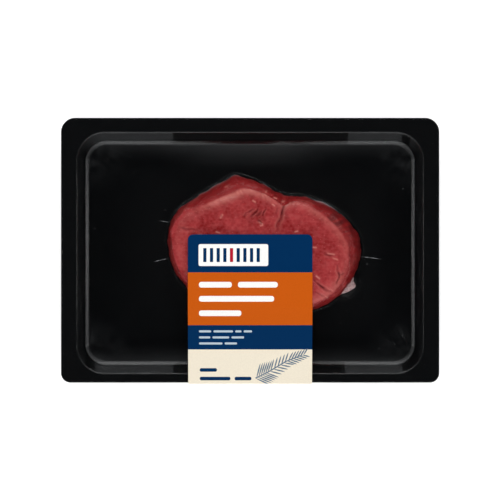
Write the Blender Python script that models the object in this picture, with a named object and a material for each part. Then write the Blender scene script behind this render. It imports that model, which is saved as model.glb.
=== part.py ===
"""Vacuum skin pack of one thick beef steak, at its real size.

A thermoformed black tray holds the steak. A clear skin film lies on the flange, goes down into the well
and is drawn tight over the meat. A printed label is stretched from the top of the steak over the front
edge of the tray, and is stuck again under its base.

X is the length of the tray, -Y is its front edge, where the label turns under, and +Z is up. The origin
is the centre of the pack's footprint, on the surface that it stands on.
"""

import math

import bmesh
import bpy
from mathutils import Vector

MM = 0.001

# Tray
TRAY_LENGTH = 200 * MM
TRAY_WIDTH = 140 * MM
TRAY_HEIGHT = 14 * MM
SHEET = 0.8 * MM
FAR_CORNER = 7.5 * MM
NEAR_CORNER = 5.0 * MM
FLANGE_SIDE = 7.6 * MM
FLANGE_FAR = 7.0 * MM
FLANGE_NEAR = 4.1 * MM
WELL_CORNER = 15.4 * MM
CORNER_SHRINK = 0.85
WALL_DRAFT = math.radians(18.5)
RIM_ROUND = 1.0 * MM
KNEE_ROUND = 1.5 * MM
FOOT_SLOPE = math.radians(27)
FOOT_STRIP = 1.55 * MM
FLOOR_ROUND = 3.0 * MM
CORNER_STEPS = 9
RIM_STEPS = 4
KNEE_STEPS = 3
FLOOR_STEPS = 3

# Pads under the four corners of the tray's floor, which lift the label clear of the table
PAD_HEIGHT = 1.0 * MM
PAD_LENGTH = 34 * MM
PAD_WIDTH = 26 * MM
PAD_ROUND = 6 * MM
PAD_BURIED = 0.4 * MM
PAD_DRAFT = 0.8 * MM
PAD_CORNER_STEPS = 2

# Pieces that lie on each other keep this space between their meshes
GAP = 0.3 * MM

# Skin film and label
FILM = 0.3 * MM
FILM_INSET = 0.2 * MM
LABEL = 0.3 * MM
LABEL_WIDTH = 65.4 * MM
LABEL_CORNER = 2.5 * MM
LABEL_FAR_END = 8.3 * MM
LABEL_TAIL_END = -14 * MM
LABEL_BEND_STEP = math.radians(16)
LABEL_CORNER_STEPS = 4
LABEL_SHORTEST_ROW = 0.2 * MM
LABEL_CLEARANCE = 2 * MM

# Steak. Each row is a point of its outline seen from above, counter-clockwise from the left, in mm from the
# centre of the tray, and then how far in from there the edge of its top face lies.
STEAK_OUTLINE = (
    (-43.4, 2.0, 2.1),
    (-38.8, -13.0, 2.3),
    (-25.5, -26.4, 2.5),
    (-8.0, -34.2, 2.8),
    (9.5, -35.8, 2.6),
    (28.0, -32.6, 2.2),
    (42.0, -27.6, 2.0),
    (51.6, -19.0, 2.5),
    (57.6, -7.0, 4.6),
    (58.6, 4.0, 6.0),
    (51.8, 15.8, 6.5),
    (38.5, 24.8, 4.4),
    (26.5, 28.4, 2.3),
    (18.6, 28.9, 3.8),
    (7.6, 34.2, 4.1),
    (-3.0, 38.6, 5.7),
    (-8.0, 39.7, 7.0),
    (-13.5, 36.8, 6.6),
    (-25.8, 29.5, 5.2),
    (-39.6, 19.2, 2.5),
    (-42.9, 12.4, 2.0),
)
STEAK_CENTRE = Vector((11.6, 1.0)) * MM
STEAK_THICKNESS = 24.5 * MM
STEAK_DOME = 2.2 * MM
STEAK_TILT = 0.012
STEAK_EDGE_DROP = 1.0 * MM
STEAK_EDGE_SHARE = 0.85
STATIONS = 80
STATION_SEARCH = 40
# Rows up the side: height over the steak's base, distance in from the outline, and the share of the way
# from the outline to the edge of the top face
STEAK_SIDE = (
    (0.0, 2.4, 0.0),
    (0.7, 0.9, 0.0),
    (2.6, 0.2, 0.0),
    (7.0, 0.0, 0.0),
    (12.5, 0.1, 0.12),
    (17.5, 0.2, 0.36),
    (21.3, 0.3, 0.66),
    (23.4, 0.8, 0.9),
)
FIRST_ROW_UNDER_FILM = 3
STEAK_TOP_SHARES = (0.965, 0.9, 0.8, 0.66, 0.5, 0.33, 0.16)
STEAK_BASE_SHARE = 0.6

# The cleft where the two muscles meet, from the notch in the outline across the top face
NOTCH_ROW = 13
NOTCH_CROWDING = 1.4
NOTCH_REACH = 9 * MM
CLEFT_START = Vector((18.4, 26.5)) * MM
CLEFT_END = Vector((13.0, 6.5)) * MM
CLEFT_DEPTH = 1.8 * MM
CLEFT_WIDTH = 2.2 * MM

# A flap of fat that comes out from under the steak at its right front
FLAP_ROW = 7.0
FLAP_HALF_ROWS = 0.43
FLAP_ENDS = 0.94
FLAP_FULLNESS = 0.7
FLAP_START = 0.5 * MM
FLAP_REACH = 4.4 * MM
FLAP_THICKNESS = 2.8 * MM
FLAP_EDGE = 1.3 * MM
FLAP_EDGE_SHARE = 0.4
FLAP_STEPS = 8

# Rows of the film from the floor up to the steak's side: height over the film's place on the floor, distance
# out from the steak's outline, and the share of the flap's reach
FILM_WEB = (
    (0.0, 3.0, 1.0),
    (0.15, 2.1, 1.0),
    (0.7, 1.3, 1.0),
    (1.7, 0.8, 1.0),
    (3.1, 0.6, 0.75),
    (4.6, 0.45, 0.05),
)
FLAP_UNDER_FILM = 0.69

# The label and its gap stand before the front edge of the tray, so the tray's centre is half of that back
TRAY_SHIFT = Vector((0, (GAP + LABEL) / 2, 0))
FLOOR = PAD_HEIGHT + SHEET
STEAK_BASE = FLOOR + GAP
FILM_OFFSET = GAP + FILM / 2
LABEL_OFFSET = GAP + LABEL / 2
SMOOTH_UNDER = math.radians(35)


def clear_scene():
    for obj in list(bpy.data.objects):
        bpy.data.objects.remove(obj, do_unlink=True)


def surface(name, colour, roughness, alpha=1.0):
    """A Principled material with the piece's colour and roughness."""
    material = bpy.data.materials.new(name)
    material.use_nodes = True
    shader = material.node_tree.nodes["Principled BSDF"]
    shader.inputs["Base Color"].default_value = (*colour, 1.0)
    shader.inputs["Roughness"].default_value = roughness
    shader.inputs["Metallic"].default_value = 0.0
    shader.inputs["Alpha"].default_value = alpha
    material.diffuse_color = (*colour, alpha)
    return material


def object_from(name, builder, material):
    """The object of a bmesh, moved to the tray's place, smooth but for its hard edges."""
    bmesh.ops.translate(builder, vec=TRAY_SHIFT, verts=builder.verts)
    mesh = bpy.data.meshes.new(name)
    builder.to_mesh(mesh)
    builder.free()
    mesh.shade_smooth()
    mesh.set_sharp_from_angle(angle=SMOOTH_UNDER)
    mesh.materials.append(material)
    obj = bpy.data.objects.new(name, mesh)
    bpy.context.scene.collection.objects.link(obj)
    return obj


def thicken(obj, thickness):
    """Gives a sheet its thickness, half to each side."""
    solid = obj.modifiers.new("thickness", "SOLIDIFY")
    solid.thickness = thickness
    solid.offset = 0
    solid.use_even_offset = True


def vertices(builder, points):
    return [builder.verts.new(point) for point in points]


def bridge(builder, lower, upper):
    """Quads between two rings with the same number of vertices."""
    count = len(lower)
    for i in range(count):
        j = (i + 1) % count
        builder.faces.new((lower[i], lower[j], upper[j], upper[i]))


def cap(builder, ring, tip):
    """Triangles from a ring to one vertex."""
    count = len(ring)
    for i in range(count):
        builder.faces.new((ring[i], ring[(i + 1) % count], tip))


def rounded_rectangle(left, right, near, far, near_radius, far_radius, steps, height):
    """Points counter-clockwise round a rectangle with round corners, from its near right corner."""
    corners = (
        (right - near_radius, near + near_radius, near_radius, -90),
        (right - far_radius, far - far_radius, far_radius, 0),
        (left + far_radius, far - far_radius, far_radius, 90),
        (left + near_radius, near + near_radius, near_radius, 180),
    )
    points = []
    for centre_x, centre_y, radius, start in corners:
        for step in range(steps + 1):
            angle = math.radians(start + 90 * step / steps)
            x = centre_x + radius * math.cos(angle)
            y = centre_y + radius * math.sin(angle)
            points.append(Vector((x, y, height)))
    return points


def flange_ring(inset, height):
    """The outer edge of the flange, moved in by inset."""
    half_length = TRAY_LENGTH / 2 - inset
    half_width = TRAY_WIDTH / 2 - inset
    near_radius = NEAR_CORNER - inset
    far_radius = FAR_CORNER - inset
    box = (-half_length, half_length, -half_width, half_width)
    return rounded_rectangle(*box, near_radius, far_radius, CORNER_STEPS, height)


def well_ring(inset, height):
    """The mouth of the well, moved in by inset. Its corners tighten more slowly than it shrinks."""
    half_length = TRAY_LENGTH / 2 - FLANGE_SIDE - inset
    near = -TRAY_WIDTH / 2 + FLANGE_NEAR + inset
    far = TRAY_WIDTH / 2 - FLANGE_FAR - inset
    radius = WELL_CORNER - CORNER_SHRINK * inset
    return rounded_rectangle(-half_length, half_length, near, far, radius, radius, CORNER_STEPS, height)


def arc(centre, radius, start, end, steps):
    """Points on an arc, by their angle from straight up. A radius below zero hangs them under the centre."""
    angles = [start + (end - start) * step / steps for step in range(steps + 1)]
    return [centre + Vector((math.sin(angle), math.cos(angle))) * radius for angle in angles]


def wall_profile(offset):
    """The wall in section, from the flange down to the floor, as (distance in from the mouth, height).

    A round rim, a steep wall, a round knee, a slanted foot and a round at the floor follow each other. The
    line lies offset above the tray's upper face.
    """
    steep = math.pi / 2 - WALL_DRAFT
    rim = Vector((0, TRAY_HEIGHT - RIM_ROUND))
    wall_top = arc(rim, RIM_ROUND, steep, steep, 1)[0]
    foot_low = arc(Vector((0, FLOOR + FLOOR_ROUND)), -FLOOR_ROUND, FOOT_SLOPE, FOOT_SLOPE, 1)[0]
    foot_high = foot_low + Vector((-math.cos(FOOT_SLOPE), math.sin(FOOT_SLOPE))) * FOOT_STRIP
    knee = foot_high + Vector((math.sin(FOOT_SLOPE), math.cos(FOOT_SLOPE))) * KNEE_ROUND
    wall_low = arc(knee, -KNEE_ROUND, steep, steep, 1)[0]
    floor_start = wall_top.x + (wall_top.y - wall_low.y) * math.tan(WALL_DRAFT) - wall_low.x
    inwards = Vector((floor_start, 0))
    floor = Vector((floor_start, FLOOR + FLOOR_ROUND))
    return [
        *arc(rim, RIM_ROUND + offset, 0, steep, RIM_STEPS),
        *arc(knee + inwards, offset - KNEE_ROUND, steep, FOOT_SLOPE, KNEE_STEPS),
        *arc(floor, offset - FLOOR_ROUND, FOOT_SLOPE, 0, FLOOR_STEPS),
    ]


def pad(centre_x, centre_y):
    """One pad: a low block with round corners and sides that lean in towards the table."""
    builder = bmesh.new()
    rings = []
    for inset, height in ((PAD_DRAFT, 0), (0, PAD_HEIGHT + PAD_BURIED)):
        half_length = PAD_LENGTH / 2 - inset
        half_width = PAD_WIDTH / 2 - inset
        box = (centre_x - half_length, centre_x + half_length, centre_y - half_width, centre_y + half_width)
        radius = PAD_ROUND - inset
        ring = rounded_rectangle(*box, radius, radius, PAD_CORNER_STEPS, height)
        rings.append(vertices(builder, ring))
    builder.faces.new(list(reversed(rings[0])))
    bridge(builder, *rings)
    builder.faces.new(rings[1])
    bmesh.ops.translate(builder, vec=TRAY_SHIFT, verts=builder.verts)
    mesh = bpy.data.meshes.new("pad")
    builder.to_mesh(mesh)
    builder.free()
    return bpy.data.objects.new("pad", mesh)


def join_pads(tray):
    """Fuses a pad to the underside of the tray at each corner of its floor."""
    pads = bpy.data.collections.new("pads")
    bpy.context.scene.collection.children.link(pads)
    wall = wall_profile(0)[-1].x + PAD_DRAFT
    right = TRAY_LENGTH / 2 - FLANGE_SIDE - wall - PAD_LENGTH / 2
    far = TRAY_WIDTH / 2 - FLANGE_FAR - wall - PAD_WIDTH / 2
    near = -TRAY_WIDTH / 2 + FLANGE_NEAR + wall + PAD_WIDTH / 2
    for x in (-right, right):
        for y in (near, far):
            pads.objects.link(pad(x, y))
    union = tray.modifiers.new("pads", "BOOLEAN")
    union.operation = "UNION"
    union.operand_type = "COLLECTION"
    union.collection = pads
    union.solver = "EXACT"
    graph = bpy.context.evaluated_depsgraph_get()
    joined = bpy.data.meshes.new_from_object(tray.evaluated_get(graph), depsgraph=graph)
    tray.modifiers.clear()
    tray.data = joined
    for obj in list(pads.objects):
        bpy.data.objects.remove(obj, do_unlink=True)
    bpy.data.collections.remove(pads)


def make_tray(material):
    """The tray: one closed sheet with a flange, leaning walls, round corners and a flat floor."""
    builder = bmesh.new()
    upper = [well_ring(inset, z) for inset, z in wall_profile(0)]
    lower = [well_ring(inset, z) for inset, z in wall_profile(-SHEET)]
    edge = [flange_ring(0, TRAY_HEIGHT), flange_ring(0, TRAY_HEIGHT - SHEET)]
    rings = [vertices(builder, ring) for ring in [*reversed(upper), *edge, *lower]]
    builder.faces.new(rings[0])
    for inner, outer in zip(rings, rings[1:]):
        bridge(builder, outer, inner)
    builder.faces.new(list(reversed(rings[-1])))
    tray = object_from("tray", builder, material)
    join_pads(tray)
    return tray


def outline_row(at):
    """The smooth closed curve through STEAK_OUTLINE. at is a row number with a fraction."""
    count = len(STEAK_OUTLINE)
    index = math.floor(at)
    share = at - index
    before, here, after, beyond = (Vector(STEAK_OUTLINE[(index + k) % count]) * MM for k in (-1, 0, 1, 2))
    chords = [(q.xy - p.xy).length for p, q in ((before, here), (here, after), (after, beyond))]
    slopes = [(here - before) / chords[0], (after - here) / chords[1], (beyond - after) / chords[2]]
    start = (slopes[0] * chords[1] + slopes[1] * chords[0]) / (chords[0] + chords[1])
    end = (slopes[1] * chords[2] + slopes[2] * chords[1]) / (chords[1] + chords[2])
    ease = share * share * (3 - 2 * share)
    leave = share * (1 - share) ** 2
    arrive = share * share * (share - 1)
    return here.lerp(after, ease) + (start * leave + end * arrive) * chords[1]


def station_at(row):
    """A place on the steak's outline: its row number, point, direction out, and the top face's edge there."""
    x, y, lean = outline_row(row)
    nearby = 1 / STATION_SEARCH
    along = (outline_row(row + nearby).xy - outline_row(row - nearby).xy).normalized()
    point = Vector((x, y))
    top = point + (STEAK_CENTRE - point).normalized() * lean
    return row, point, Vector((along.y, -along.x)), top


def steak_stations():
    """Places round the steak's outline from the notch on, evenly spaced but closer together by the notch."""
    steps = len(STEAK_OUTLINE) * STATION_SEARCH
    marks = [outline_row(NOTCH_ROW + i / STATION_SEARCH).xy for i in range(steps + 1)]
    lengths = [0.0]
    for first, second in zip(marks, marks[1:]):
        away = ((first + second) / 2 - marks[0]).length / NOTCH_REACH
        weight = 1 + NOTCH_CROWDING * math.exp(-(away**2))
        lengths.append(lengths[-1] + (second - first).length * weight)
    stations = []
    at = 0
    for i in range(STATIONS):
        target = lengths[-1] * i / STATIONS
        while lengths[at + 1] < target:
            at += 1
        share = (target - lengths[at]) / (lengths[at + 1] - lengths[at])
        stations.append(station_at(NOTCH_ROW + (at + share) / STATION_SEARCH))
    return stations


def cleft_depth(x, y):
    """How deep the cleft between the two muscles is at a point seen from above."""
    line = CLEFT_END - CLEFT_START
    point = Vector((x, y))
    share = max(0.0, min(1.0, (point - CLEFT_START).dot(line) / line.length_squared))
    away = (point - (CLEFT_START + line * share)).length
    return CLEFT_DEPTH * (1 - share) * math.exp(-((away / CLEFT_WIDTH) ** 2))


def top_height(x, y, share):
    """Height of the steak's top face. share is 1 at its edge and 0 at its centre."""
    dome = STEAK_DOME * (1 - share**2)
    edge = max(0.0, (share - STEAK_EDGE_SHARE) / (1 - STEAK_EDGE_SHARE))
    drop = STEAK_EDGE_DROP * edge**2
    return STEAK_BASE + STEAK_THICKNESS + dome - drop + STEAK_TILT * x - cleft_depth(x, y)


def steak_side(stations):
    """The rings of the steak's side, from its base up."""
    rings = []
    for height, inset, lean_share in STEAK_SIDE:
        ring = []
        for _, point, out, top in stations:
            x, y = point.lerp(top, lean_share) - out * inset * MM
            lowered = 1 - cleft_depth(x, y) / STEAK_THICKNESS
            ring.append(Vector((x, y, STEAK_BASE + height * MM * lowered)))
        rings.append(ring)
    return rings


def steak_top(stations):
    """The rings of the steak's top face from its edge inwards, and the point at its centre."""
    rings = []
    for share in STEAK_TOP_SHARES:
        ring = []
        for _, _, _, top in stations:
            x, y = STEAK_CENTRE.lerp(top, share)
            ring.append(Vector((x, y, top_height(x, y, share))))
        rings.append(ring)
    return rings, Vector((*STEAK_CENTRE, top_height(*STEAK_CENTRE, 0)))


def make_steak(stations, material):
    """The steak: a slab of meat with leaning sides, a low dome and the cleft between its muscles."""
    builder = bmesh.new()
    side = steak_side(stations)
    top, crown = steak_top(stations)
    base_centre = Vector((*STEAK_CENTRE, STEAK_BASE))
    base = [base_centre.lerp(point, STEAK_BASE_SHARE) for point in side[0]]
    rings = [vertices(builder, ring) for ring in [base, *side, *top]]
    for lower, upper in zip(rings, rings[1:]):
        bridge(builder, lower, upper)
    cap(builder, list(reversed(rings[0])), builder.verts.new(base_centre))
    cap(builder, rings[-1], builder.verts.new(crown))
    return object_from("steak", builder, material)


def flap_share(row, width=1.0):
    """How far the flap of fat comes out at a row of the outline, from 0 to 1."""
    away = abs(row % len(STEAK_OUTLINE) - FLAP_ROW) / (FLAP_HALF_ROWS * width)
    return 0.0 if away >= 1 else math.cos(away * math.pi / 2) ** FLAP_FULLNESS


def make_flap(material):
    """The flap of fat: a low wedge along the steak's foot, thick inside and thin at its edge."""
    builder = bmesh.new()
    sections = []
    for step in range(FLAP_STEPS + 1):
        row, point, out, _ = station_at(FLAP_ROW + FLAP_HALF_ROWS * FLAP_ENDS * (2 * step / FLAP_STEPS - 1))
        share = flap_share(row)
        end = FLAP_START + (FLAP_REACH - FLAP_START) * share
        inner_top = STEAK_BASE + FLAP_EDGE + (FLAP_THICKNESS - FLAP_EDGE) * share
        outer_top = STEAK_BASE + FLAP_EDGE * (FLAP_EDGE_SHARE + (1 - FLAP_EDGE_SHARE) * share)
        corners = ((FLAP_START, STEAK_BASE), (end, STEAK_BASE), (end, outer_top), (FLAP_START, inner_top))
        sections.append(vertices(builder, [Vector((*(point + out * reach), z)) for reach, z in corners]))
    for first, second in zip(sections, sections[1:]):
        bridge(builder, first, second)
    builder.faces.new(sections[0])
    builder.faces.new(list(reversed(sections[-1])))
    bmesh.ops.recalc_face_normals(builder, faces=builder.faces)
    return object_from("fat_flap", builder, material)


def film_over_steak(stations):
    """The film's middle surface over the meat, as rings from the floor up, and its highest point."""
    rings = []
    for height, reach, flap in FILM_WEB:
        ring = []
        for row, point, out, _ in stations:
            over_flap = flap * (FLAP_REACH + FLAP_START) * flap_share(row, width=1 / FLAP_UNDER_FILM)
            x, y = point + out * (reach * MM + over_flap)
            ring.append(Vector((x, y, FLOOR + FILM_OFFSET + height * MM)))
        rings.append(ring)
    top, crown = steak_top(stations)
    meat = [*steak_side(stations)[FIRST_ROW_UNDER_FILM:], *top, [crown] * len(stations)]
    for k, ring in enumerate(meat[:-1]):
        lifted = []
        for i, point in enumerate(ring):
            along = ring[(i + 1) % len(ring)] - ring[i - 1]
            up = meat[k + 1][i] - meat[max(0, k - 1)][i]
            lifted.append(point + along.cross(up).normalized() * FILM_OFFSET)
        rings.append(lifted)
    return rings, crown + Vector((0, 0, FILM_OFFSET))


def make_film(stations, material):
    """The skin film, from the edge of the flange down the walls, over the floor and over the meat."""
    builder = bmesh.new()
    tray = [flange_ring(FILM_INSET, TRAY_HEIGHT + FILM_OFFSET)]
    tray += [well_ring(inset, z) for inset, z in wall_profile(FILM_OFFSET)]
    tray = [vertices(builder, ring) for ring in tray]
    meat, crown = film_over_steak(stations)
    meat = [vertices(builder, ring) for ring in meat]
    for rings in (tray, meat):
        for outer, inner in zip(rings, rings[1:]):
            bridge(builder, outer, inner)
    cap(builder, meat[-1], builder.verts.new(crown))
    floor_edges = []
    for ring in (tray[-1], meat[0]):
        floor_edges += [builder.edges.get(pair) for pair in zip(ring, ring[1:] + ring[:1])]
    bmesh.ops.triangle_fill(builder, use_beauty=True, edges=floor_edges, normal=(0, 0, 1))
    bmesh.ops.recalc_face_normals(builder, faces=builder.faces)
    film = object_from("film", builder, material)
    thicken(film, FILM)
    return film


def turn(a, b, c):
    """Above zero where the way from a to b to c turns left."""
    return (b[0] - a[0]) * (c[1] - a[1]) - (b[1] - a[1]) * (c[0] - a[0])


def half_hull(points):
    """One side of the convex hull of sorted points, without its last point."""
    chain = []
    for point in points:
        while len(chain) > 1 and turn(chain[-2], chain[-1], point) <= 0:
            chain.pop()
        chain.append(point)
    return chain[:-1]


def convex_hull(points):
    """The convex hull of (y, z) points, counter-clockwise."""
    ordered = sorted({point.to_tuple(7) for point in points})
    return [Vector(point) for point in half_hull(ordered) + half_hull(ordered[::-1])]


def pack_section(stations):
    """Points of the filmed pack in section, under the label's width, as (y, z)."""
    meat, crown = film_over_steak(stations)
    reach = LABEL_WIDTH / 2 + LABEL_CLEARANCE
    points = [p.yz + Vector((0, FILM / 2)) for p in [*sum(meat, []), crown] if abs(p.x) < reach]
    front = -TRAY_WIDTH / 2
    back = TRAY_WIDTH / 2
    points += [Vector((front, TRAY_HEIGHT + FILM_OFFSET + FILM / 2)), Vector((front, TRAY_HEIGHT - SHEET))]
    points += [Vector((front + FLANGE_NEAR + inset, z)) for inset, z in wall_profile(-SHEET)]
    points += [Vector((back, PAD_HEIGHT)), Vector((back, TRAY_HEIGHT))]
    return points


def cut_at(path, y):
    """Where a path of straight lines passes y, and the index of the path's next point."""
    for i, (first, second) in enumerate(zip(path, path[1:])):
        if min(first.x, second.x) <= y <= max(first.x, second.x) and first.x != second.x:
            return first.lerp(second, (y - first.x) / (second.x - first.x)), i + 1
    raise ValueError("the label ends off the pack")


def label_path(stations):
    """The label's middle line in section, from its far end over the front edge to its tail, as (y, z).

    The label is taut, so it follows the convex outline of the filmed pack.
    """
    hull = convex_hull(pack_section(stations))
    back = max(range(len(hull)), key=lambda i: hull[i].x + hull[i].y)
    around = hull[back:] + hull[:back]
    start, first = cut_at(around, LABEL_FAR_END)
    front = min(range(len(around)), key=lambda i: around[i].x)
    end, last = cut_at(around[front:], LABEL_TAIL_END)
    corners = [start, *around[first : front + last], end]
    headings = [math.atan2(q.y - p.y, q.x - p.x) for p, q in zip(corners, corners[1:])]
    path = []
    for corner, before, after in zip(corners, [headings[0], *headings], [*headings, headings[-1]]):
        bend = (after - before + math.pi) % math.tau - math.pi
        steps = math.ceil(abs(bend) / LABEL_BEND_STEP)
        if steps < 2:
            shares = (0.5,)
            lift = LABEL_OFFSET / math.cos(bend / 2)
        else:
            shares = [k / steps for k in range(steps + 1)]
            lift = LABEL_OFFSET
        for share in shares:
            heading = before + bend * share
            path.append(corner + Vector((math.sin(heading), -math.cos(heading))) * lift)
    return path


def label_rows(lengths):
    """Rows along the label, as (distance from its far end, distance in from its side)."""
    total = lengths[-1]
    head = []
    for step in range(LABEL_CORNER_STEPS + 1):
        angle = math.pi / 2 * step / LABEL_CORNER_STEPS
        head.append((LABEL_CORNER * (1 - math.cos(angle)), LABEL_CORNER * (1 - math.sin(angle))))
    tail = [(total - length, inset) for length, inset in reversed(head)]
    first = LABEL_CORNER + LABEL_SHORTEST_ROW
    middle = [(length, 0.0) for length in lengths if first < length < total - first]
    return head + middle + tail


def make_label(stations, material):
    """The label: one strip with round corners, bent along the label's path."""
    path = label_path(stations)
    lengths = [0.0]
    for first, second in zip(path, path[1:]):
        lengths.append(lengths[-1] + (second - first).length)
    builder = bmesh.new()
    rows = []
    for length, inset in label_rows(lengths):
        k = max(1, next((i for i, reached in enumerate(lengths) if reached >= length), len(lengths) - 1))
        share = (length - lengths[k - 1]) / (lengths[k] - lengths[k - 1])
        y, z = path[k - 1].lerp(path[k], share)
        half = LABEL_WIDTH / 2 - inset
        rows.append(vertices(builder, (Vector((-half, y, z)), Vector((half, y, z)))))
    for (left, right), (next_left, next_right) in zip(rows, rows[1:]):
        builder.faces.new((left, next_left, next_right, right))
    label = object_from("label", builder, material)
    thicken(label, LABEL)
    return label


def main():
    clear_scene()
    stations = steak_stations()
    make_tray(surface("black tray plastic", (0.006, 0.006, 0.007), 0.3))
    make_steak(stations, surface("raw beef", (0.28, 0.03, 0.03), 0.4))
    make_flap(surface("beef fat", (0.5, 0.3, 0.28), 0.45))
    make_film(stations, surface("clear skin film", (0.9, 0.9, 0.9), 0.08, alpha=0.15))
    make_label(stations, surface("printed label", (0.0, 0.03, 0.1), 0.5))


main()
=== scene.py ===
"""The looks of a vacuum skin pack of beef: black tray, steak, clear film and printed label.

X is the length of the tray, -Y is its front edge, where the label turns under, and +Z is up. The camera
looks straight down, with +Y upwards in the image.
"""

import math

import bmesh
import bpy
import numpy as np
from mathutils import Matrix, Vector
from mathutils.geometry import convex_hull_2d, delaunay_2d_cdt


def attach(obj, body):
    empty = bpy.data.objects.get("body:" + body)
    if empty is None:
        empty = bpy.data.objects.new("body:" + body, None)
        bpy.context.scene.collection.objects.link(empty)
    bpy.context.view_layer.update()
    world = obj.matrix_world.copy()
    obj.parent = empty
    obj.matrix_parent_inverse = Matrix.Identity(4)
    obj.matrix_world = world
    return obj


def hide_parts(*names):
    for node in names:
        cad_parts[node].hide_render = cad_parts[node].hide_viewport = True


MM = 0.001

# The tray's named sizes, the same as in the part's own source
TRAY_LENGTH = 200 * MM
TRAY_WIDTH = 140 * MM
TRAY_HEIGHT = 14 * MM
SHEET = 0.8 * MM
FAR_CORNER = 7.5 * MM
NEAR_CORNER = 5.0 * MM
FLANGE_SIDE = 7.6 * MM
FLANGE_FAR = 7.0 * MM
FLANGE_NEAR = 4.1 * MM
WELL_CORNER = 15.4 * MM
CORNER_SHRINK = 0.85
WALL_DRAFT = math.radians(18.5)
RIM_ROUND = 1.0 * MM
KNEE_ROUND = 1.5 * MM
FOOT_SLOPE = math.radians(27)
FOOT_STRIP = 1.55 * MM
FLOOR_ROUND = 3.0 * MM
PAD_HEIGHT = 1.0 * MM
PAD_LENGTH = 34 * MM
PAD_WIDTH = 26 * MM
PAD_ROUND = 6 * MM
PAD_BURIED = 0.4 * MM
PAD_DRAFT = 0.8 * MM
TRAY_SHIFT = Vector((0, 0.3, 0)) * MM
FLOOR = PAD_HEIGHT + SHEET
EDGE_ROUND = 0.28 * MM
# A ring this far past the last bend keeps the shading of the flat face beyond it flat
SUPPORT = 0.6 * MM
CORNER_STEPS = 16
RIM_STEPS = 6
KNEE_STEPS = 5
FLOOR_STEPS = 6
EDGE_STEPS = 4
# Bends sharper than this are shaded as edges
TRAY_CREASE = math.radians(50)

# The steak's outline: x, y and how far in the top face's edge lies, in mm, as in the part's own source
STEAK_OUTLINE = (
    (-43.4, 2.0, 2.1),
    (-38.8, -13.0, 2.3),
    (-25.5, -26.4, 2.5),
    (-8.0, -34.2, 2.8),
    (9.5, -35.8, 2.6),
    (28.0, -32.6, 2.2),
    (42.0, -27.6, 2.0),
    (51.6, -19.0, 2.5),
    (57.6, -7.0, 4.6),
    (58.6, 4.0, 6.0),
    (51.8, 15.8, 6.5),
    (38.5, 24.8, 4.4),
    (26.5, 28.4, 2.3),
    (18.6, 28.9, 3.8),
    (7.6, 34.2, 4.1),
    (-3.0, 38.6, 5.7),
    (-8.0, 39.7, 7.0),
    (-13.5, 36.8, 6.6),
    (-25.8, 29.5, 5.2),
    (-39.6, 19.2, 2.5),
    (-42.9, 12.4, 2.0),
)
STEAK_BASE = FLOOR + 0.3 * MM
STEAK_CENTRE = np.array((11.6, 1.0)) * MM
# How much the top face rises for each mm along X, in mm
STEAK_TILT = 0.012
# Thickness at the top's edge, rise of the dome and drop of the last stretch to the edge, in mm
STEAK_THICKNESS = 24.5
STEAK_DOME = 2.2
STEAK_EDGE_DROP = 1.0
STEAK_EDGE_SHARE = 0.85
# Rows up the side: height over the base, distance in from the outline, share of the way to the top edge
STEAK_SIDE = (
    (0.0, 2.4, 0.0),
    (0.7, 0.9, 0.0),
    (2.6, 0.2, 0.0),
    (7.0, 0.0, 0.0),
    (12.5, 0.1, 0.12),
    (17.5, 0.2, 0.36),
    (21.3, 0.3, 0.66),
    (23.4, 0.8, 0.9),
)
STEAK_TOP_SHARES = (0.965, 0.93, 0.89, 0.84, 0.75, 0.62, 0.48, 0.33, 0.18, 0.03)
# Places to measure the outline at, and the step in rows that gives its direction
OUTLINE_MARKS = 2001
ROW_NUDGE = 0.025
# Points in each ring of the steak, and the distance between its rings
STATIONS = 560
ROW_SPACING = 0.46 * MM

# The meat's relief: height in mm, size of the humps along X, Y and Z in mm, and the seed of the draw
TOP_HUMPS = ((0.32, (11, 11, 20), 5), (0.13, (4.5, 4.5, 9), 6))
FINE_HUMPS = ((0.05, (1.6, 1.6, 2.5), 7),)
SIDE_HUMPS = ((0.22, (4, 4, 16), 8), (0.1, (1.5, 1.5, 11), 9))
# How far grooves wander off their straight lines, along X and along Y
WANDER = ((0.28, (3, 3, 6), 3), (0.28, (3, 3, 6), 4))
# The same kind of rows for light and dark: in the lean, in the grooves' painted shade, on the rim and on the
# side
LEAN_TONES = ((0.2, (6, 6, 12), 11), (0.26, (2.6, 2.6, 6), 12), (0.1, (1.2, 1.2, 3), 14))
GROOVE_TONES = ((0.25, (1.5, 1.5, 3), 16),)
RIM_STROKES = ((0.25, (0.75, 0.75, 5), 10), (0.2, (2.0, 2.0, 6), 15))
SIDE_PATCHES = ((1.0, (7, 7, 4), 13),)
SIDE_STREAKS = ((0.5, (1.2, 1.2, 12), 17),)
# How pale the patches on the side are at most
SIDE_PALE = 0.08
# Patterns on the rim and the side run round a circle of this radius, in mm
MEAN_RADIUS = 38.0
# Distance in from the top edge over which the top's relief rises to its full height, in mm
TOP_EASE = 2.0
# How much the side leans, and how far past the top edge its look then reaches, both in mm
SIDE_REACH = ((2.0, 4.5), (2.8, 1.0))
# Depth past the top edge from which the side has neither flecks nor painted glints, and over which they fade
# in, in mm
FLECK_FOOT = 8
FLECK_EASE = 3

# The cleft between the two muscles, in mm
CLEFT_START = (18.4, 26.5)
CLEFT_END = (13.0, 6.5)
CLEFT_DEPTH = 1.5
CLEFT_WIDTH = 2.2
CLEFT_DROP = 12
# How much painted shade darkens the cleft
CLEFT_SHADE = 0.4
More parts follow.
